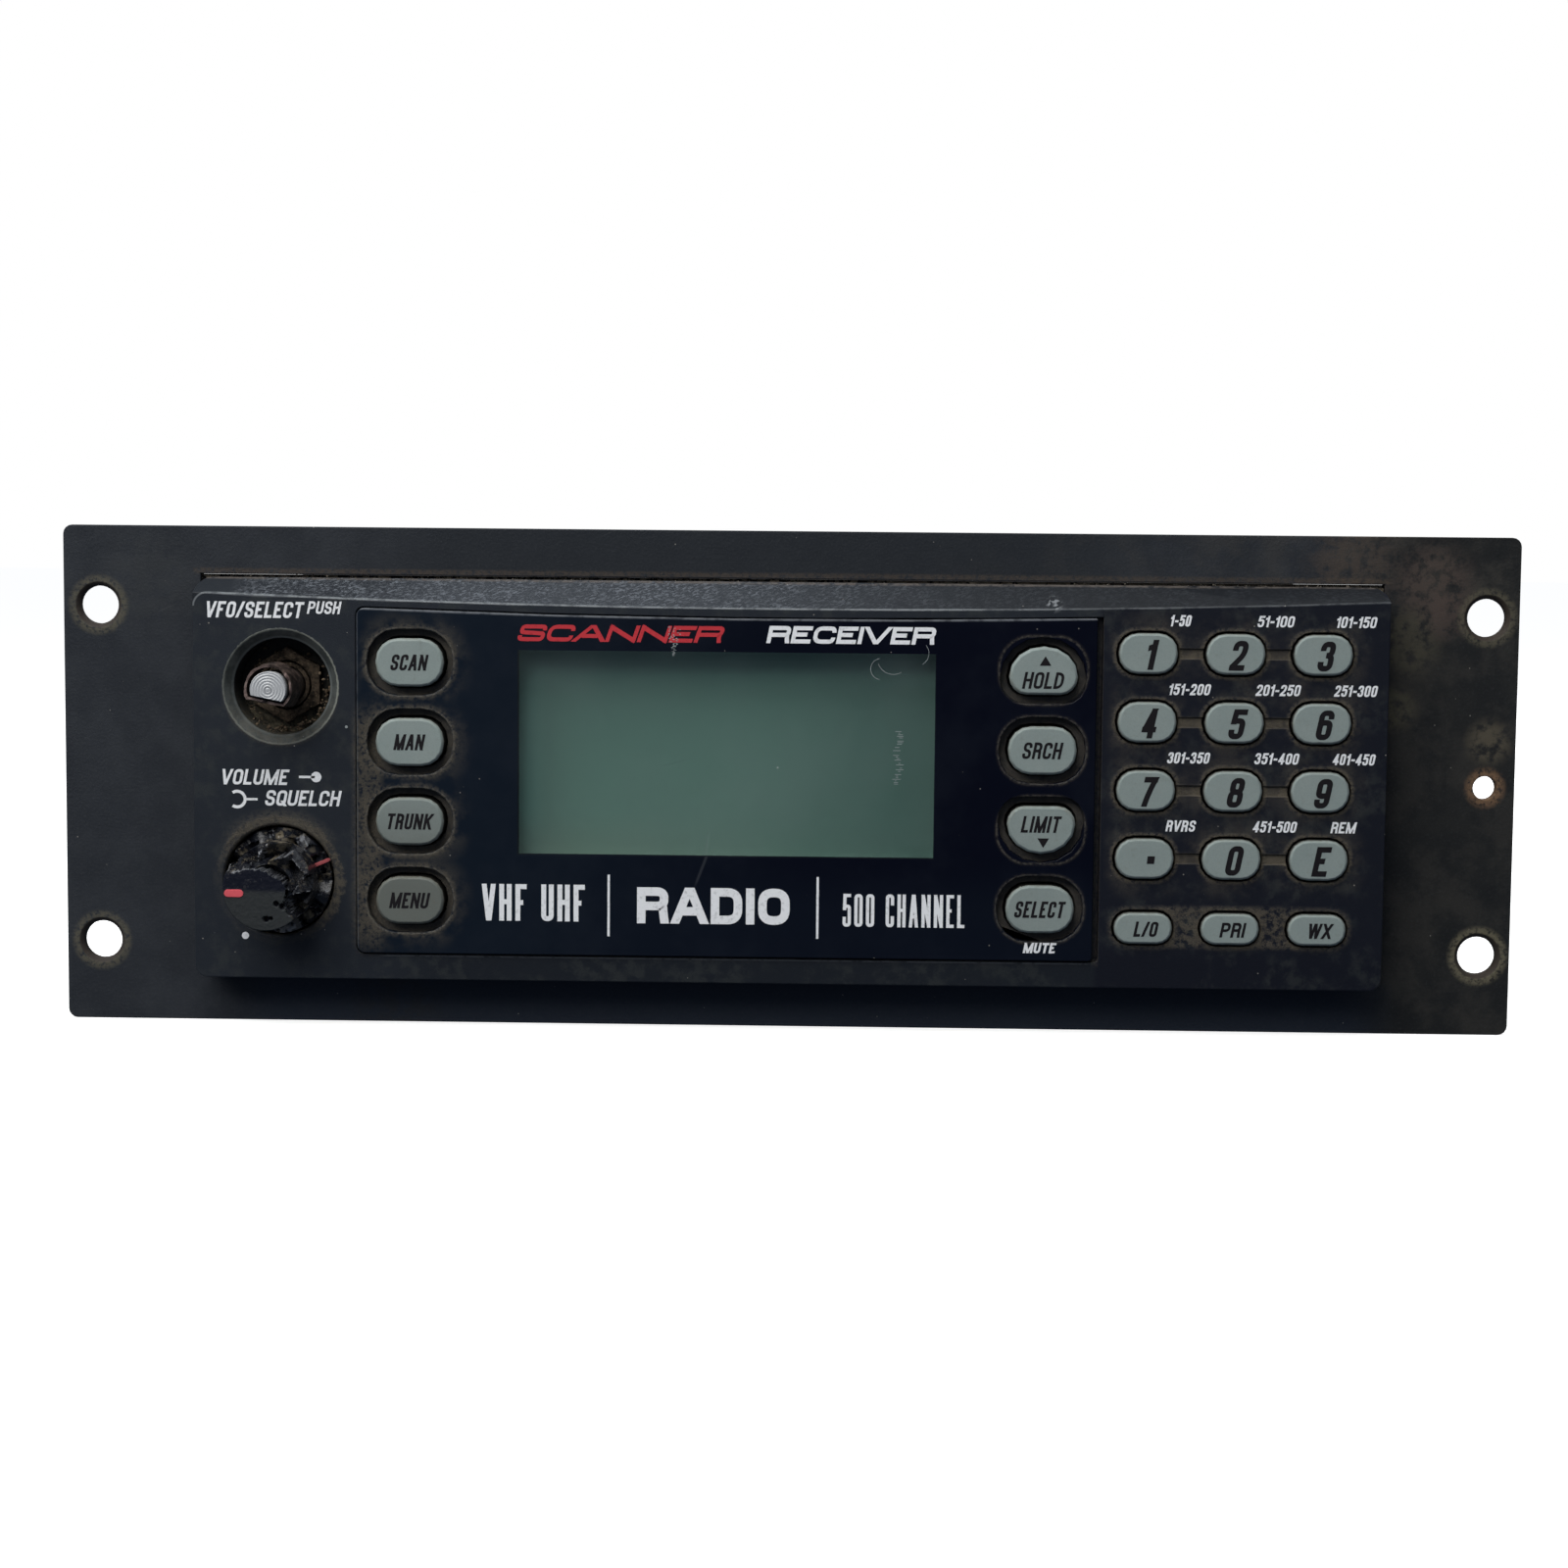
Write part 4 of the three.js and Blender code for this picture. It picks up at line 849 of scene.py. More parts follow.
# The letters as pen strokes: each has its width, then lines through (across, up) places that run from 0 to 1.
# A ~ marks a place where the line turns in a curve.
LOOP = "~0,0 ~0,1 ~1,1 ~1,0 ~0,0"
LETTERS = {
    " ": (0.3, []),
    "-": (0.45, ["0,.44 1,.44"]),
    "/": (0.6, ["0,0 1,1"]),
    "0": (1.0, [LOOP]),
    "1": (0.42, ["1,0 1,1", "0,.8 .9,.84"]),
    "2": (1.0, ["0,.7 ~0,1 ~1,1 ~1,.55 .06,.08", "0,0 1,0"]),
    "3": (1.0, ["0,.72 ~0,1 ~.96,1 ~.96,.54 .4,.54", ".4,.54 ~1,.54 ~1,0 ~0,0 0,.28"]),
    "4": (1.1, [".74,0 .74,1", ".70,1 .04,.3", "0,.25 1,.25"]),
    "5": (1.0, ["1,1 .12,1 .04,.5", ".04,.5 ~.1,.64 ~1,.64 ~1,0 ~0,0 0,.28"]),
    "6": (1.0, ["1,.74 ~1,1 ~0,1 ~0,0 ~1,0 ~1,.6 .5,.6", ".5,.6 ~0,.6 0,.4"]),
    "7": (1.0, ["0,1 1,1", "1,1 ~.5,.5 .3,0"]),
    "8": (1.0, ["~.05,.53 ~.05,1 ~.95,1 ~.95,.53 ~.05,.53", "~0,0 ~0,.53 ~1,.53 ~1,0 ~0,0"]),
    "9": (1.0, ["0,.26 ~0,0 ~1,0 ~1,1 ~0,1 ~0,.4 .5,.4", ".5,.4 ~1,.4 1,.6"]),
    "A": (1.15, ["0,0 .43,1", "1,0 .57,1", ".2,.3 .8,.3"]),
    "C": (1.0, ["1,.68 ~1,1 ~0,1 ~0,0 ~1,0 1,.32"]),
    "D": (1.0, ["0,0 0,1 ~1,1 ~1,0 0,0"]),
    "E": (0.85, ["1,1 0,1 0,0 1,0", "0,.52 .85,.52"]),
    "F": (0.85, ["1,1 0,1 0,0", "0,.5 .85,.5"]),
    "H": (1.0, ["0,0 0,1", "1,0 1,1", "0,.52 1,.52"]),
    "I": (0.0, ["0,0 0,1"]),
    "K": (1.1, ["0,0 0,1", "1,1 .1,.4", ".38,.58 1,0"]),
    "L": (0.8, ["0,1 0,0 1,0"]),
    "M": (1.6, ["0,0 0,1", "1,0 1,1", "0.02,1 .48,0", ".98,1 .52,0"]),
    "N": (1.15, ["0,0 0,1", "1,0 1,1", "0.02,1 .98,0"]),
    "O": (1.0, [LOOP]),
    "P": (1.0, ["0,0 0,1", "0,1 ~1,1 ~1,.46 0,.46"]),
    "Q": (1.0, [LOOP, ".6,.3 1.05,-.03"]),
    "R": (1.0, ["0,0 0,1", "0,1 ~1,1 ~1,.48 0,.48", ".5,.48 ~.95,.48 ~.95,.3 1,0"]),
    "S": (1.0, ["1,.7 ~1,1 ~0,1 ~0,.55 ~1,.46 ~1,0 ~0,0 0,.3"]),
    "T": (1.0, ["0,1 1,1", ".5,1 .5,0"]),
    "U": (1.0, ["0,1 ~0,0 ~1,0 1,1"]),
    "V": (1.15, ["0,1 .44,0", "1,1 .56,0"]),
    "W": (1.9, ["0,1 .24,0", ".46,1 .28,0", ".54,1 .72,0", "1,1 .76,0"]),
    "X": (1.15, ["0,0 1,1", "0,1 1,0"]),
}


class Print:
    """Flat ink marks that share one body and one ink. Places and sizes are in millimetres."""

    def __init__(self, y):
        self.bm = bmesh.new()
        self.y = y
        self.layer = 0

    def shape(self, points):
        verts = [self.bm.verts.new(mm(x, self.y, z)) for x, z in points]
        self.bm.faces.new(verts)

    def bar(self, x0, x1, z0, z1, slant=0.0):
        shift = slant * (z1 - z0)
        self.shape([(x0, z0), (x1, z0), (x1 + shift, z1), (x0 + shift, z1)])

    def dot(self, x, z, radius, count=20):
        angles = [2 * math.pi * i / count for i in range(count)]
        self.shape([(x + radius * math.cos(a), z + radius * math.sin(a)) for a in angles])

    def arc(self, x, z, radius, width, start, end, count=14):
        angles = [math.radians(start + (end - start) * i / count) for i in range(count + 1)]
        outer = [(x + (radius + width / 2) * math.cos(a),
                  z + (radius + width / 2) * math.sin(a)) for a in angles]
        inner = [(x + (radius - width / 2) * math.cos(a),
                  z + (radius - width / 2) * math.sin(a)) for a in angles]
        for i in range(count):
            self.shape([inner[i], outer[i], outer[i + 1], inner[i + 1]])

    def stroke(self, points, weight, place, softness, closed):
        """One pen stroke of a letter, as a ribbon as wide as the weight; place turns (u, v) into (x, z)."""
        path = []
        count = len(points)
        for i, (u, v, soft) in enumerate(points):
            if not soft or (not closed and i in (0, count - 1)):
                path.append(Vector((u, v)))
                continue
            corner = Vector((u, v))
            near = [points[i - 1], points[(i + 1) % count]]
            legs = [Vector(place[:2]) - corner for place in near]
            reach = min(softness,
                        *(leg.length * (0.5 if place[2] else 0.9) for leg, place in zip(legs, near)))
            ends = [corner + leg.normalized() * reach for leg in legs]
            for step in range(7):
                t = step / 6
                path.append(ends[0] * (1 - t) ** 2 + corner * 2 * t * (1 - t) + ends[1] * t ** 2)
        sides = []
        last = len(path) - 1
        for i, point in enumerate(path):
            before = path[i] - path[i - 1] if i or closed else path[1] - path[0]
            after = path[(i + 1) % len(path)] - path[i] if i < last or closed else before
            if before.length < 1e-6 or after.length < 1e-6:
                continue
            before, after = before.normalized(), after.normalized()
            if not closed and i in (0, last):
                outward = -after if i == 0 else before
                steep = abs(outward.y) > abs(outward.x)
                across = Vector((1, 0)) / abs(outward.y) if steep else Vector((0, 1)) / abs(outward.x)
                side = across * weight / 2
                if (steep and after.y > 0) or (not steep and after.x < 0):
                    side = -side
                lead = weight / 2 if self.on_edge(point, steep) else 0.0
                point = point + outward * lead / abs(outward.y if steep else outward.x)
            else:
                middle = Vector((-before.y - after.y, before.x + after.x))
                middle = middle.normalized() if middle.length > 0.1 else Vector((-before.y, before.x))
                side = middle * weight / 2 / max(0.5, middle.dot(Vector((-before.y, before.x))))
            sides.append((point + side, point - side))
        self.layer += 1
        y = self.y - 0.0015 * (self.layer % 6)
        rails = [[self.bm.verts.new(mm(place(*end)[0], y, place(*end)[1])) for end in pair] for pair in sides]
        pairs = list(zip(rails, rails[1:])) + ([(rails[-1], rails[0])] if closed else [])
        for a, b in pairs:
            self.bm.faces.new([a[0], b[0], b[1], a[1]])

    def on_edge(self, point, steep):
        share = point.y / self.rise if steep else point.x / self.run
        return share < 0.02 or share > 0.98

    def words(self, text, x, z, width, height, weight, slant=0.2, softness=9.0):
        """Letters fitted to a width and height and centred at (x, z), drawn with strokes of one weight."""
        gap = weight + 0.10 * height
        total = sum(LETTERS[letter][0] for letter in text)
        stems = (len(text) - 1) * gap + weight
        unit = (width - slant * height - stems) / total
        self.rise = height - weight
        start = x - (width - slant * height) / 2 + weight / 2
        base = z - height / 2 + weight / 2

        for letter in text:
            across, strokes = LETTERS[letter]
            self.run = max(across * unit, 0.01)
            for line in strokes:
                points = []
                for mark in line.split():
                    u, v = mark.lstrip("~").split(",")
                    points.append((float(u) * across * unit, float(v) * self.rise, mark[0] == "~"))
                closed = points[0][:2] == points[-1][:2]
                if closed:
                    points.pop()
                left = start

                def place(u, v):
                    return left + u + slant * (v - self.rise / 2), base + v

                self.stroke(points, weight, place, softness, closed)
            start += across * unit + gap

    def done(self, name, body, ink):
        self.bm.normal_update()
        turned = [face for face in self.bm.faces if face.normal.y > 0]
        bmesh.ops.reverse_faces(self.bm, faces=turned)
        mesh = bpy.data.meshes.new(name)
        self.bm.to_mesh(mesh)
        self.bm.free()
        mesh.materials.append(ink)
        piece = bpy.data.objects.new(name, mesh)
        scene.collection.objects.link(piece)
        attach(piece, body)
        return piece


INK_GAP = 0.02


def key_legends(ink):
    words = {
        "scan_key": ("SCAN", 5.9, 2.4, 0), "manual_key": ("MAN", 4.9, 2.4, 0),
        "trunk_key": ("TRUNK", 7.3, 2.4, 0), "menu_key": ("MENU", 6.3, 2.4, 0),
        "hold_key": ("HOLD", 6.5, 2.5, -1.45), "search_key": ("SRCH", 6.3, 2.5, 0),
        "limit_key": ("LIMIT", 6.2, 2.5, 0.9), "select_key": ("SELECT", 7.9, 2.5, 0),
        "lockout_key": ("L/O", 3.9, 2.3, -0.1), "priority_key": ("PRI", 4.1, 2.25, -0.1),
        "weather_key": ("WX", 4.0, 2.3, -0.1), "enter_key": ("E", 3.1, 4.5, -0.15),
    }
    for digit in range(10):
        width = {1: 2.25, 4: 3.0, 7: 2.95}.get(digit, 3.15)
        words[f"digit_{digit}_key"] = (str(digit), width, 4.5, -0.15)
    for key in ALL_KEYS:
        x, _, z = middle_mm(key)
        marks = Print(front_mm(key) - INK_GAP)
        if key == "point_key":
            marks.bar(x + 0.35, x + 1.45, z - 0.75, z + 0.4, 0.1)
        else:
            text, width, height, lift = words[key]
            tall = height > 4
            shift = 0.45 if tall or height < 2.35 else 0.0
            marks.words(text, x + shift, z + lift, width, height, 0.84 if tall else 0.41)
        if key == "hold_key":
            marks.shape([(x - 0.65, z + 0.75), (x + 1.1, z + 0.75), (x + 0.22, z + 2.2)])
        if key == "limit_key":
            marks.shape([(x - 0.55, z - 1.2), (x + 0.33, z - 2.65), (x + 1.2, z - 1.2)])
        marks.done(key.replace("_key", "_legend"), key, ink)


def bezel_legends(ink):
    marks = Print(BEZEL_FACE - INK_GAP)
    marks.words("VFO/SELECT", -80.2, 25.55, 15.2, 2.44, 0.42)
    marks.words("PUSH", -69.65, 25.95, 5.3, 1.9, 0.33)
    marks.words("VOLUME", -80.3, 0.28, 10.6, 2.35, 0.41)
    marks.words("SQUELCH", -73.0, -2.87, 11.8, 2.36, 0.41)
    marks.bar(-73.6, -71.2, 0.18, 0.54)
    marks.dot(-71.0, 0.37, 0.8)
    marks.arc(-83.0, -3.1, 1.2, 0.46, -125, 125)
    marks.bar(-81.6, -79.9, -3.28, -2.92)
    marks.dot(-81.9, -23.9, 0.55)
    banks = [
        (("1-50", 3.4), ("51-100", 5.75), ("101-150", 6.3)),
        (("151-200", 6.5), ("201-250", 6.9), ("251-300", 6.65)),
        (("301-350", 6.6), ("351-400", 6.9), ("401-450", 6.6)),
        (("RVRS", 4.7), ("451-500", 6.8), ("REM", 4.0)),
    ]
    for keys, row in zip(KEYPAD, banks):
        for key, (text, width) in zip(keys, row):
            x, _, z = middle_mm(key)
            left = x + (1.75 if keys.index(key) == 2 else 3.1)
            marks.words(text, left + width / 2, z + 4.95, width, 1.7, 0.31)
    marks.done("bezel_legends", ROOT, ink)


def lens_legends(ink, red):
    marks = Print(LENS_FACE - INK_GAP)
    marks.words("RECEIVER", 9.7, 22.6, 25.6, 2.6, 0.62)
    marks.words("VHF UHF", -38.0, -18.3, 15.6, 5.6, 0.75, 0, 1.2)
    marks.words("RADIO", -10.75, -18.5, 23.1, 5.5, 1.3, 0, 1.6)
    marks.words("500 CHANNEL", 18.0, -18.9, 18.4, 5.0, 0.5, 0, 0.9)
    marks.words("MUTE", 38.6, -24.3, 5.1, 1.6, 0.34)
    for x in (-26.6, 5.0):
        marks.bar(x - 0.18, x + 0.18, -23.3, -13.9)
    marks.done("lens_legends", ROOT, ink)
    title = Print(LENS_FACE - INK_GAP)
    title.words("SCANNER", -24.9, 22.5, 31.5, 2.5, 0.6, 0.35)
    title.done("lens_title", ROOT, red)


# ------------------------------------------------------------------ the torn and broken controls

def shards(count, reach, seed):
    """Tilted planes for a broken surface: each is (u, v, height, slope along u, slope along v)."""
    chance = random.Random(seed)
    return [(chance.uniform(-reach, reach), chance.uniform(-reach, reach), chance.uniform(-0.9, 0.9),
             chance.uniform(-0.75, 0.75), chance.uniform(-0.75, 0.75)) for _ in range(count)]


def shard_height(planes, u, v):
    near = min(planes, key=lambda plane: (plane[0] - u) ** 2 + (plane[1] - v) ** 2)
    return near[2] + near[3] * (u - near[0]) + near[4] * (v - near[1])


def shard_look(planes, u, v, caked, width=0.2):
    """1 on a broken edge between two planes, where a highlight is painted; down to -1 where tan dirt is
    caked, else 0.
    """
    ragged = 0.5 * noise.noise(Vector((u, v, 5)) * 1.6)
    dirt = max(1.6 - 1.6 * (math.hypot(u - cu, v - cv) + ragged) / size for cu, cv, size in caked)
    if dirt > 0:
        return -min(dirt, 1.0)
    order = sorted(planes, key=lambda plane: (plane[0] - u) ** 2 + (plane[1] - v) ** 2)
    near, far = (math.hypot(plane[0] - u, plane[1] - v) for plane in order[:2])
    between = noise.noise(Vector((order[0][0] + order[1][0], order[0][1] + order[1][1], 1)) * 3.1)
    broken = between > 0.08 and noise.noise(Vector((u, v, 2)) * 1.9) > -0.12
    return 0.85 if far - near < width and broken else 0.0


def close_rings(bm, rings):
    """Faces from each ring of vertices to the next, and from the last back to the first."""
    for inner, outer in zip(rings, rings[1:] + rings[:1]):
        for i in range(len(inner)):
            j = (i + 1) % len(inner)
            bm.faces.new([inner[i], inner[j], outer[j], outer[i]])
    bmesh.ops.recalc_face_normals(bm, faces=bm.faces)


def relief_disc(name, node, radii, height_at, back, edge_at):
    """A round part with a relief for a front: height_at gives y over (u, v), counted from the pot's axis."""
    bm = bmesh.new()
    layer = bm.verts.layers.float.new("glint_and_caked_dirt")
    turns = [2 * math.pi * i / 150 for i in range(150)]

    def ring(radius, relief):
        verts = []
        for angle in turns:
            u, v = radius * math.cos(angle), radius * math.sin(angle)
            verts.append(bm.verts.new(mm(POT_X + u, height_at(u, v) if relief else back, POT_Z + v)))
            if relief:
                verts[-1][layer] = edge_at(u, v)
        return verts

    rings = [ring(radius, True) for radius in radii]
    rings += [ring(radii[-1], False), ring(radii[0], False)]
    close_rings(bm, rings)
    piece_from(bm, name, body_of(node), knob_plastic, (node,), 28)


def segment_gap(u, v, a, b):
    """Distance from (u, v) to the line between a and b."""
    length_squared = (b[0] - a[0]) ** 2 + (b[1] - a[1]) ** 2
    along = ((u - a[0]) * (b[0] - a[0]) + (v - a[1]) * (b[1] - a[1])) / length_squared
    along = min(max(along, 0.0), 1.0)
    return math.hypot(u - a[0] - along * (b[0] - a[0]), v - a[1] - along * (b[1] - a[1]))


# where the volume knob's face is broken off, from its left side to its lower right
BREAK = [(-6.4, 2.2), (-5.5, 2.75), (-4.4, 2.35), (-3.1, 2.9), (-0.95, 2.85), (0.3, 2.5), (1.2, 1.9),
         (2.4, 1.3), (3.4, -0.1), (2.8, -1.6), (3.1, -3.0), (3.7, -3.9), (4.6, -4.9)]


def beyond_break(u, v):
    """How far (u, v) lies past the broken edge of the volume knob's face; negative on the face itself."""
    gap = min(segment_gap(u, v, a, b) for a, b in zip(BREAK, BREAK[1:]))
    corners = BREAK + [(9, -6), (9, 9), (-9, 9)]
    inside = False
    for (u0, v0), (u1, v1) in zip(corners, corners[1:] + corners[:1]):
        if (v0 > v) != (v1 > v) and u < (u1 - u0) * (v - v0) / (v1 - v0) + u0:
            inside = not inside
    return gap if inside else -gap


def volume_cap():
    """The volume knob: a flat face at the lower left, broken to a rubble of shards at the upper right."""
    planes = shards(30, 6.5, 12)
    caked = [(1.1, 5.5, 0.9), (0.7, 3.5, 0.9), (2.6, 3.1, 0.5), (4.6, -3.0, 0.8)]
    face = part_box("volume_knob")[0].y / MM - FRONT / MM + 0.12
    radius = (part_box("volume_knob")[1].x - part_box("volume_knob")[0].x) / MM / 2
    rim_drop = 0.14
    chips = [(0.15, -4.5, 0.5), (0.9, -4.4, 0.3), (1.7, -2.2, 0.45), (2.6, -2.6, 0.5)]

    def past_break(u, v):
        return beyond_break(u, v) + 0.28 * noise.noise(Vector((u, v, 7)) * 2.3)

    def height_at(u, v):
        gap = math.hypot(u, v)
        past = past_break(u, v)
        y = face + 0.03 * noise.noise(Vector((u, v, 0)) * 1.5)
        for cu, cv, size in chips:
            y += 0.9 * max(0.0, 1 - (math.hypot(u - cu, v - cv) / size) ** 2)
        if past > 0:
            drop = min(past / 0.9, 1.0)
            y += 0.5 + 4.6 * drop * drop * (3 - 2 * drop) + 1.9 * shard_height(planes, u, v) * drop
            if 3.3 < gap < 3.9 and drop > 0.3:
                y = min(y, -15.4)
            elif gap <= 3.3:
                y = max(y, -12.5)
        return min(max(y, face), -9.4) + (rim_drop if gap > radius - 0.05 else 0.0)

    def edge_at(u, v):
        past = past_break(u, v)
        if past > 0.25:
            return shard_look(planes, u, v, caked)
        # painted highlight along the face's broken edge: strong on its upper part, in patches elsewhere
        lit = 0.9 if v > 0.8 or noise.noise(Vector((u, v, 3))) > 0.1 else 0.2
        return lit * max(0.0, 1 - abs(past) / 0.13)

    radii = [0.02 + (radius - rim_drop) * i / 46 for i in range(47)]
    relief_disc("volume_cap", "volume_knob", radii + [radius], height_at, -8.6, edge_at)


def squelch_ring():
    """The ribbed ring behind the volume knob, broken and caked as well."""
    planes = shards(44, 8.5, 5)
    caked = [(0.1, 6.8, 0.8), (5.0, 4.7, 0.8), (5.9, 0.2, 0.9), (4.2, -5.4, 1.2)]
    hole, radius, front, ribs = 3.4, 7.98, -7.98, 11

    def height_at(u, v):
        rib = abs(((math.atan2(v, u) / (2 * math.pi) * ribs) % 1) - 0.5) * 2
        y = front + 0.03 + 1.1 * rib ** 1.5 + 1.3 * max(0.0, shard_height(planes, u, v))
        if math.hypot(u, v) < 4.9:
            y += 1.5
        return min(max(y, front), -4.5)

    radii = [hole + (radius - hole) * i / 28 for i in range(29)]
    relief_disc("squelch_ring", "squelch_knob", radii, height_at, -3.0,
                lambda u, v: shard_look(planes, u, v, caked))


def encoder_sleeve(material):
    """What is left of the tuning knob: a thin D-shaped sleeve round the shaft, torn at its front."""
    count, steps = 96, 22
    centre_x, centre_z = ENCODER_X - 0.16, ENCODER_Z + 0.1
    outer, bore = (3.52, 2.10), (3.17, 1.76)  # each a radius and how far its flat is from the axis
    back = -9.6
    bm = bmesh.new()

    def ring(radius, flat, y_at, swell):
        verts = []
        for i in range(count):
            angle = 2 * math.pi * i / count
            toward = math.cos(angle - FLAT_ANGLE)
            gap = min(radius, flat / toward) if toward > 0.05 else radius
            y = y_at(angle)
            gap += swell * (0.12 * noise.noise(Vector((math.cos(angle), math.sin(angle), y * 0.4)) * 2.2))
            verts.append(bm.verts.new(mm(centre_x + gap * math.cos(angle), y,
                                         centre_z + gap * math.sin(angle))))
        return verts

    def torn(angle):
        spot = Vector((math.cos(angle), math.sin(angle), 0)) * 2.6
        flake = max(0.0, 1 - abs(angle - math.radians(62)) / 0.5)
        return -16.25 + 0.75 * max(0.0, noise.noise(spot) + 0.15) + 0.8 * flake

    rings = []
    for step in range(steps + 1):
        share = step / steps
        grown = 0.3 * share
        rings.append(ring(outer[0] + grown, outer[1] + grown,
                          lambda a: torn(a) * (1 - share) + back * share, 2.2))
    rings.append(ring(*bore, lambda a: back, 0.0))
    rings.append(ring(*bore, lambda a: torn(a) + 0.06, 0.0))
    close_rings(bm, rings)
    piece_from(bm, "encoder_sleeve", body_of("encoder_knob_hub"), material, ("encoder_knob_hub",), 50)


def pointer(name, body, x, z, length, width, degrees, y, material):
    """A slim raised bar with round ends."""
    bm = bmesh.new()
    outline = []
    half = length / 2 - width / 2
    for end, start in ((half, -90), (-half, 90)):
        for i in range(7):
            angle = math.radians(start + 30 * i)
            outline.append((end + width / 2 * math.cos(angle), width / 2 * math.sin(angle)))
    turn = math.radians(degrees)
    front = []
    back = []
    for u, v in outline:
        across, up = u * math.cos(turn) - v * math.sin(turn), u * math.sin(turn) + v * math.cos(turn)
        front.append(bm.verts.new(mm(x + across, y, z + up)))
        back.append(bm.verts.new(mm(x + across, y + 0.5, z + up)))
    bm.faces.new(front)
    bm.faces.new(list(reversed(back)))
    for i in range(len(front)):
        j = (i + 1) % len(front)
        bm.faces.new([front[i], back[i], back[j], front[j]])
    bmesh.ops.recalc_face_normals(bm, faces=bm.faces)
    round_edges(bm, 0.1, 2, 60)
    piece_from(bm, name, body, material)


# ------------------------------------------------------------------ dirt, chips and the strip of painted shade in the gap

def crumbs(name, places, material, body=ROOT, seed=1):
    """Small uneven grains; each place is (x, y, z, size)."""
    bm = bmesh.new()
    chance = random.Random(seed)
    for x, y, z, size in places:
        made = bmesh.ops.create_icosphere(bm, subdivisions=1, radius=size * MM / 2)["verts"]
        stretch = Vector((chance.uniform(0.7, 1.4), chance.uniform(0.6, 1.1), chance.uniform(0.6, 1.2)))
        spot = mm(x, y, z)
        for vert in made:
            wobble = 1 + 0.35 * noise.noise(vert.co / MM * 3 + spot / MM)
            vert.co = Vector(a * b for a, b in zip(vert.co * wobble, stretch)) + spot
    return piece_from(bm, name, body, material, sharp=70)


def scatter_dirt(material, pale):
    chance = random.Random(7)
    well = []
    for _ in range(90):
        angle = math.radians(chance.gauss(-62, 42))
        radius = WELL - 0.2 - abs(chance.gauss(0, 0.7))
        well.append((ENCODER_X + radius * math.cos(angle), chance.uniform(-6.5, -0.8),
                     ENCODER_Z + radius * math.sin(angle), chance.uniform(0.15, 0.6)))
    for _ in range(40):
        angle = chance.uniform(0, 2 * math.pi)
        radius = chance.uniform(4.5, 7.0)
        well.append((ENCODER_X + radius * math.cos(angle), chance.uniform(-1.0, -0.5),
                     ENCODER_Z + radius * math.sin(angle), chance.uniform(0.2, 0.8)))
    crumbs("well_grit", well, material)
    edge = []
    for _ in range(70):
        x = chance.uniform(-86, -30) if chance.random() < 0.75 else chance.uniform(-30, 60)
        edge.append((x, chance.uniform(0.4, 1.6), PLATE_TOP_GAP + chance.uniform(-0.25, 0.15),
                     chance.uniform(0.15, 0.4)))
    for _ in range(60):
        x = chance.uniform(42, 89)
        edge.append((x, chance.uniform(0.4, 1.4), PLATE_TOP_GAP + chance.uniform(-0.2, 0.0),
                     chance.uniform(0.2, 0.5)))
    crumbs("gap_grit", edge, pale, seed=3)


def foam_seal(material):
    """A near-black strip that fills the gap between the faceplate and the radio, standing in for the shade in
    the gap.
    """
    bm = bmesh.new()
    centre = middle_mm("front_bezel").x
    front, back, depth = 0.9, 2.0, 1.7

    def block(x, z, along, steps):
        """A bar between two places in x and two in z, cut into steps along its length (0 is x, 2 is z)."""
        low, high = mm(min(x), front, min(z)), mm(max(x), back, max(z))
        made = bmesh.ops.create_cube(bm, size=1)
        for vert in made["verts"]:
            vert.co = [high[i] if vert.co[i] > 0 else low[i] for i in range(3)]
        edges = {e for v in made["verts"] for e in v.link_edges
                 if abs((e.verts[0].co - e.verts[1].co)[along]) > 0.9 * (high - low)[along]}
        bmesh.ops.subdivide_edges(bm, edges=list(edges), cuts=steps)

    for side in (-1, 1):
        block((centre - GAP_STRIP_HALF_WIDTH, centre + GAP_STRIP_HALF_WIDTH),
              (side * GAP_STRIP_HALF_HEIGHT, side * (GAP_STRIP_HALF_HEIGHT - depth)), 0, 240)
        edge = centre + side * GAP_STRIP_HALF_WIDTH
        block((edge, edge - side * depth), (-GAP_STRIP_HALF_HEIGHT, GAP_STRIP_HALF_HEIGHT), 2, 80)
    for vert in bm.verts:
        if vert.co.y < FRONT + 1.6 * MM:
            vert.co.y += 0.5 * noise.noise(vert.co / MM * 1.1) * MM
    piece_from(bm, "foam_seal", ROOT, material, sharp=60)


def lens_chips(ink):
    """Gouges and fine scratches in the panel over and beside the display."""
    marks = Print(LENS_FACE - 0.03)
    chance = random.Random(21)
    for i in range(26):
        z = 23.5 - i * 0.17
        spread = 1.15 * (1 - i / 26) + 0.1
        for _ in range(2):
            x = -17.0 + chance.uniform(-spread, spread)
            width = chance.uniform(0.08, 0.30)
            marks.bar(x, x + width, z, z + chance.uniform(0.05, 0.16), chance.uniform(-0.5, 0.5))
    for i in range(34):
        z = 8.2 - i * 0.24
        x = 16.9 + 0.35 * math.sin(i * 0.35)
        if chance.random() < 0.8:
            length = chance.uniform(0.2, 0.9) if i % 3 else chance.uniform(0.6, 1.4)
            marks.bar(x - length / 2, x + length / 2, z, z + 0.07, chance.uniform(-3, 3))
    marks.arc(14.2, 17.6, 1.6, 0.07, 100, 260)
    marks.arc(16.0, 19.2, 2.4, 0.06, 200, 300)
    marks.arc(19.4, 20.0, 1.9, 0.06, -60, 40)
    marks.dot(-1.2, 2.6, 0.14, 8)
    marks.dot(-66.3, 8.06, 0.22, 8)
    marks.done("lens_chips", ROOT, ink)


# ------------------------------------------------------------------ assembly

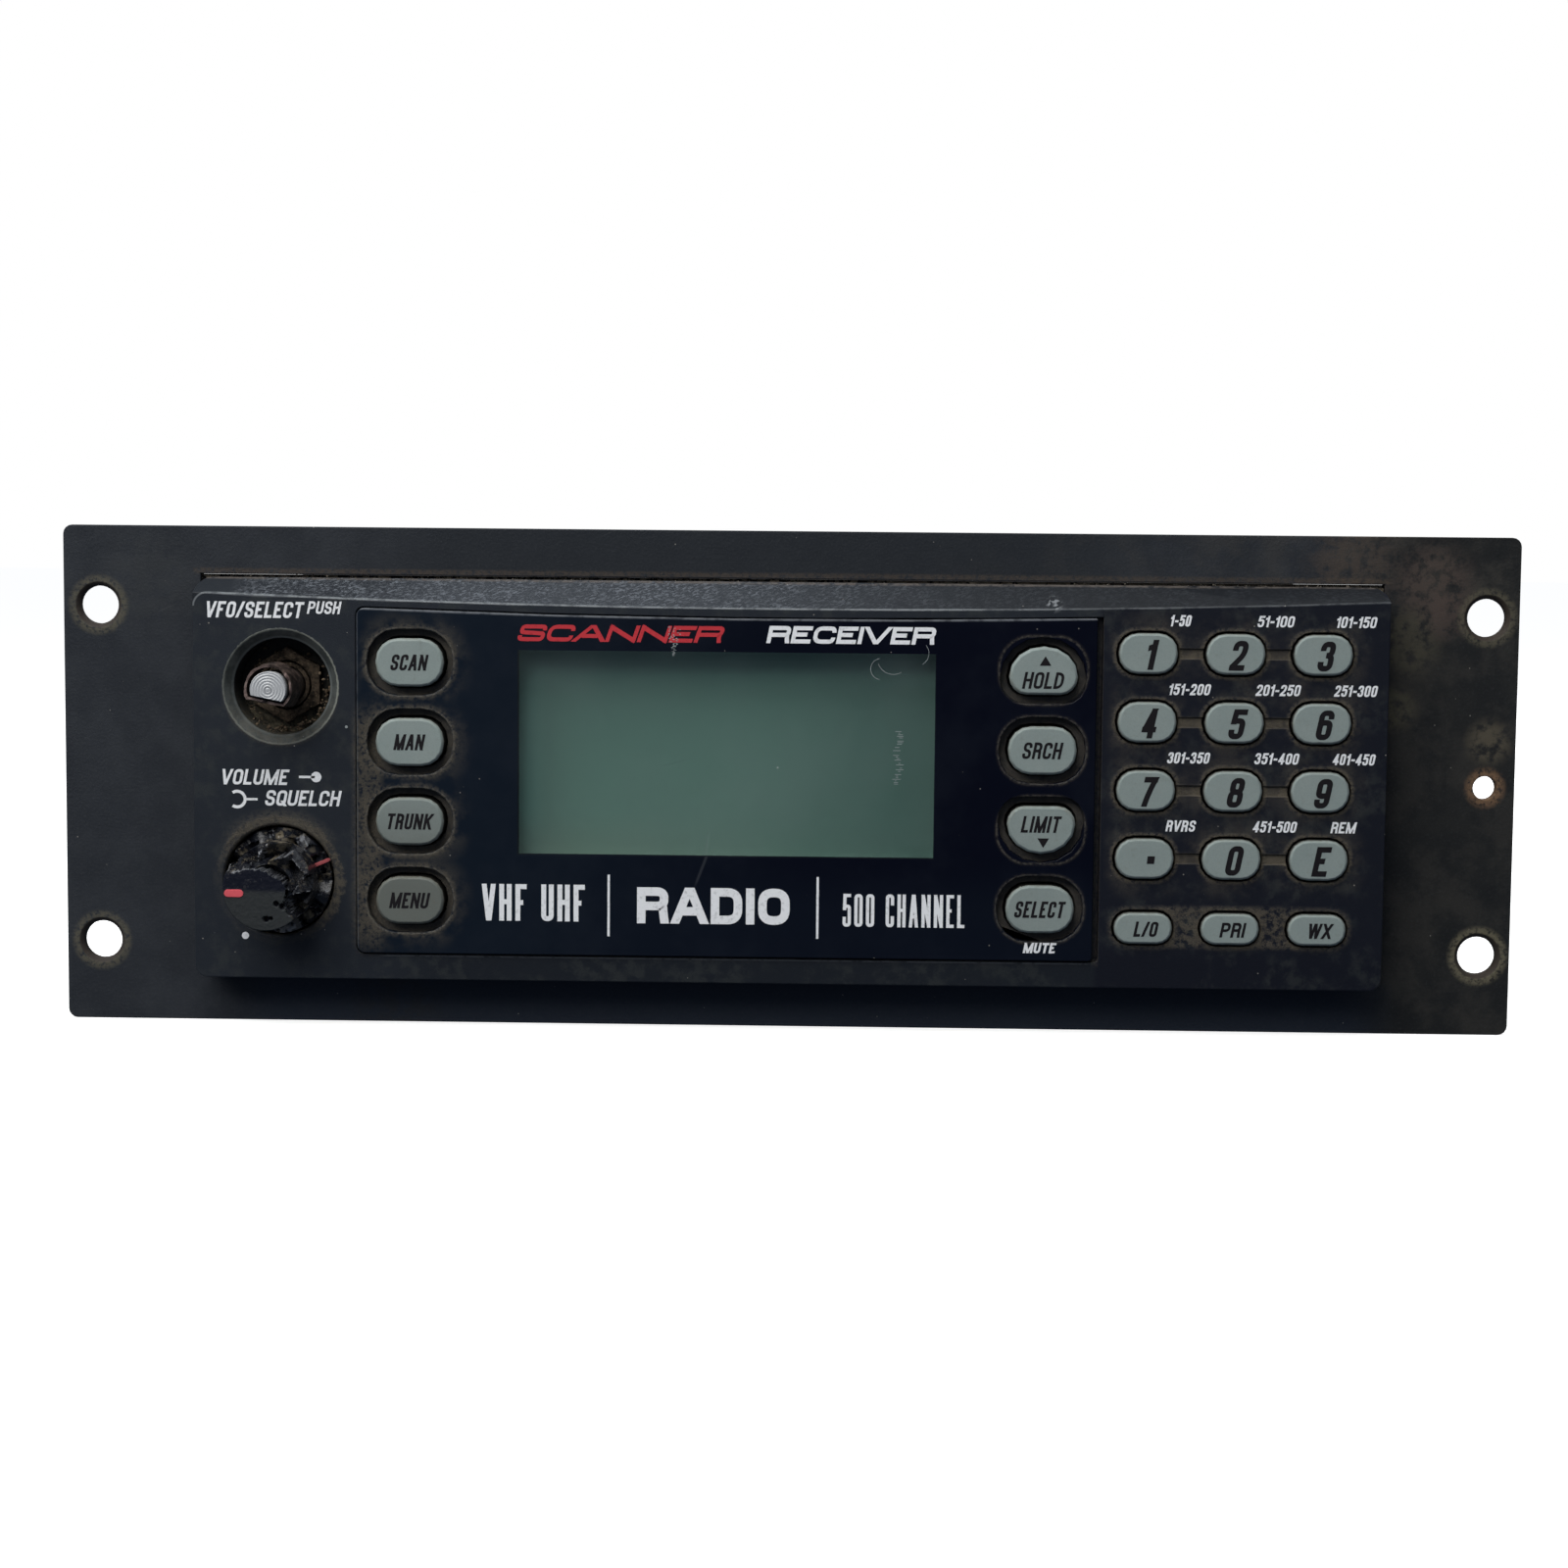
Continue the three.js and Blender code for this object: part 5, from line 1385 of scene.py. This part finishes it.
scene.view_settings.view_transform = "Standard"
add_camera()
light_stage()
add_floor()

softened("faceplate", "faceplate_panel", faceplate_paint(), 0.18)
softened("front_bezel", "bezel_moulding", bezel_paint(), 0.16)
foam_seal(seal_paint())
lens_piece()
dress("lcd_glass", display_paint())

key_plastic = key_paint()
for key in ALL_KEYS:
    softened(key, key.replace("_key", "_keycap"), key_plastic, 0.1, angle=25)
white_ink = ink_paint("white_ink", (0.82, 0.83, 0.84), 0.35)
key_legends(ink_paint("dark_ink", (0.007, 0.0055, 0.007)))
bezel_legends(white_ink)
lens_legends(white_ink, ink_paint("red_ink", (0.52, 0.035, 0.045), 0.3))
lens_chips(ink_paint("scratch_white", (0.30, 0.33, 0.33)))

knob_plastic = knob_paint()
squelch_ring()
volume_cap()
red_paint = ink_paint("pointer_red", (0.68, 0.10, 0.12), 0.2)
# the squelch pointer's red: a darker copy of the pointer red, painted shade, and more rubbed
shaded_pointer_red = ink_paint("squelch_pointer_shaded_red", (0.34, 0.075, 0.08), 0.75)
pointer("volume_pointer", "volume_control", POT_X - 4.6, POT_Z - 0.7, 2.9, 1.15, 0, -18.49, red_paint)
pointer("squelch_pointer", "squelch_control", POT_X + 6.1, POT_Z + 2.6, 3.7, 0.55, 23, -8.0, shaded_pointer_red)

softened("encoder_shaft", "encoder_rod", shaft_paint(), 0.12)
encoder_sleeve(sleeve_paint())
caked = caked_paint()
for node in ("encoder_nut", "potentiometer_nut", "squelch_shaft", "volume_shaft"):
    lumpy(node, node + "_caked", caked, 0.7, 0.16)
dull_zinc = metal_paint("dull_zinc", (0.30, 0.29, 0.28), 0.5, 0.5)
for node in ("encoder_body", "potentiometer_body", "encoder_plunger"):
    dress(node, caked)
grit = plain_paint("grit", (0.035, 0.024, 0.015), (0.20, 0.145, 0.09), 0.85, 0.9, 0.1)
pale_grit = plain_paint("pale_grit", (0.11, 0.08, 0.055), (0.42, 0.38, 0.31), 0.85, 0.8, 0.1)
scatter_dirt(grit, pale_grit)

cabinet = cabinet_paint()
for node in ("top_cover", "chassis_tray", "rear_panel"):
    softened(node, node + "_skin", cabinet, 0.2)
nickel = metal_paint("nickel_plate", (0.60, 0.58, 0.54), 0.28, 0.25)
black_moulding = plain_paint("black_moulding", (0.010, 0.010, 0.011), (0.020, 0.020, 0.021), 0.5)
for node in ("antenna_socket", "data_port"):
    softened(node, node + "_plated", nickel, 0.1)
for node in ("power_jack", "external_speaker_jack", "line_out_jack"):
    softened(node, node + "_moulded", black_moulding, 0.12)
for node in ("left_front_screw", "left_rear_screw", "right_front_screw", "right_rear_screw"):
    softened(node, node + "_plated", dull_zinc, 0.15)

board = plain_paint("solder_mask", (0.012, 0.055, 0.028), (0.020, 0.085, 0.042), 0.45, 0.3, 0.02)
tin = metal_paint("tinned_sheet", (0.52, 0.52, 0.50), 0.35, 0.15)
paper = plain_paint("pressed_paper", (0.020, 0.018, 0.016), (0.045, 0.040, 0.036), 0.85, 0.3, 0.1)
ribbon = plain_paint("ribbon_grey", (0.28, 0.28, 0.30), (0.36, 0.36, 0.38), 0.6, 0.2, 0.02)
rubber = plain_paint("mat_rubber", (0.030, 0.030, 0.030), (0.045, 0.045, 0.044), 0.8, 0.4, 0.03)
acrylic = plain_paint("milky_acrylic", (0.52, 0.54, 0.50), (0.62, 0.64, 0.60), 0.35, 0.1, 0.01)
for node, paint in (("main_circuit_board", board), ("front_circuit_board", board), ("tuner_shield", tin),
                    ("lcd_frame", tin), ("speaker", paper), ("flat_cable", ribbon),
                    ("left_key_mat", rubber), ("right_key_mat", rubber), ("backlight_diffuser", acrylic)):
    dress(node, paint)


def write_sizes():
    boxes = [[list(corner) for corner in box] for box in (cad_box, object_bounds())]


write_sizes()
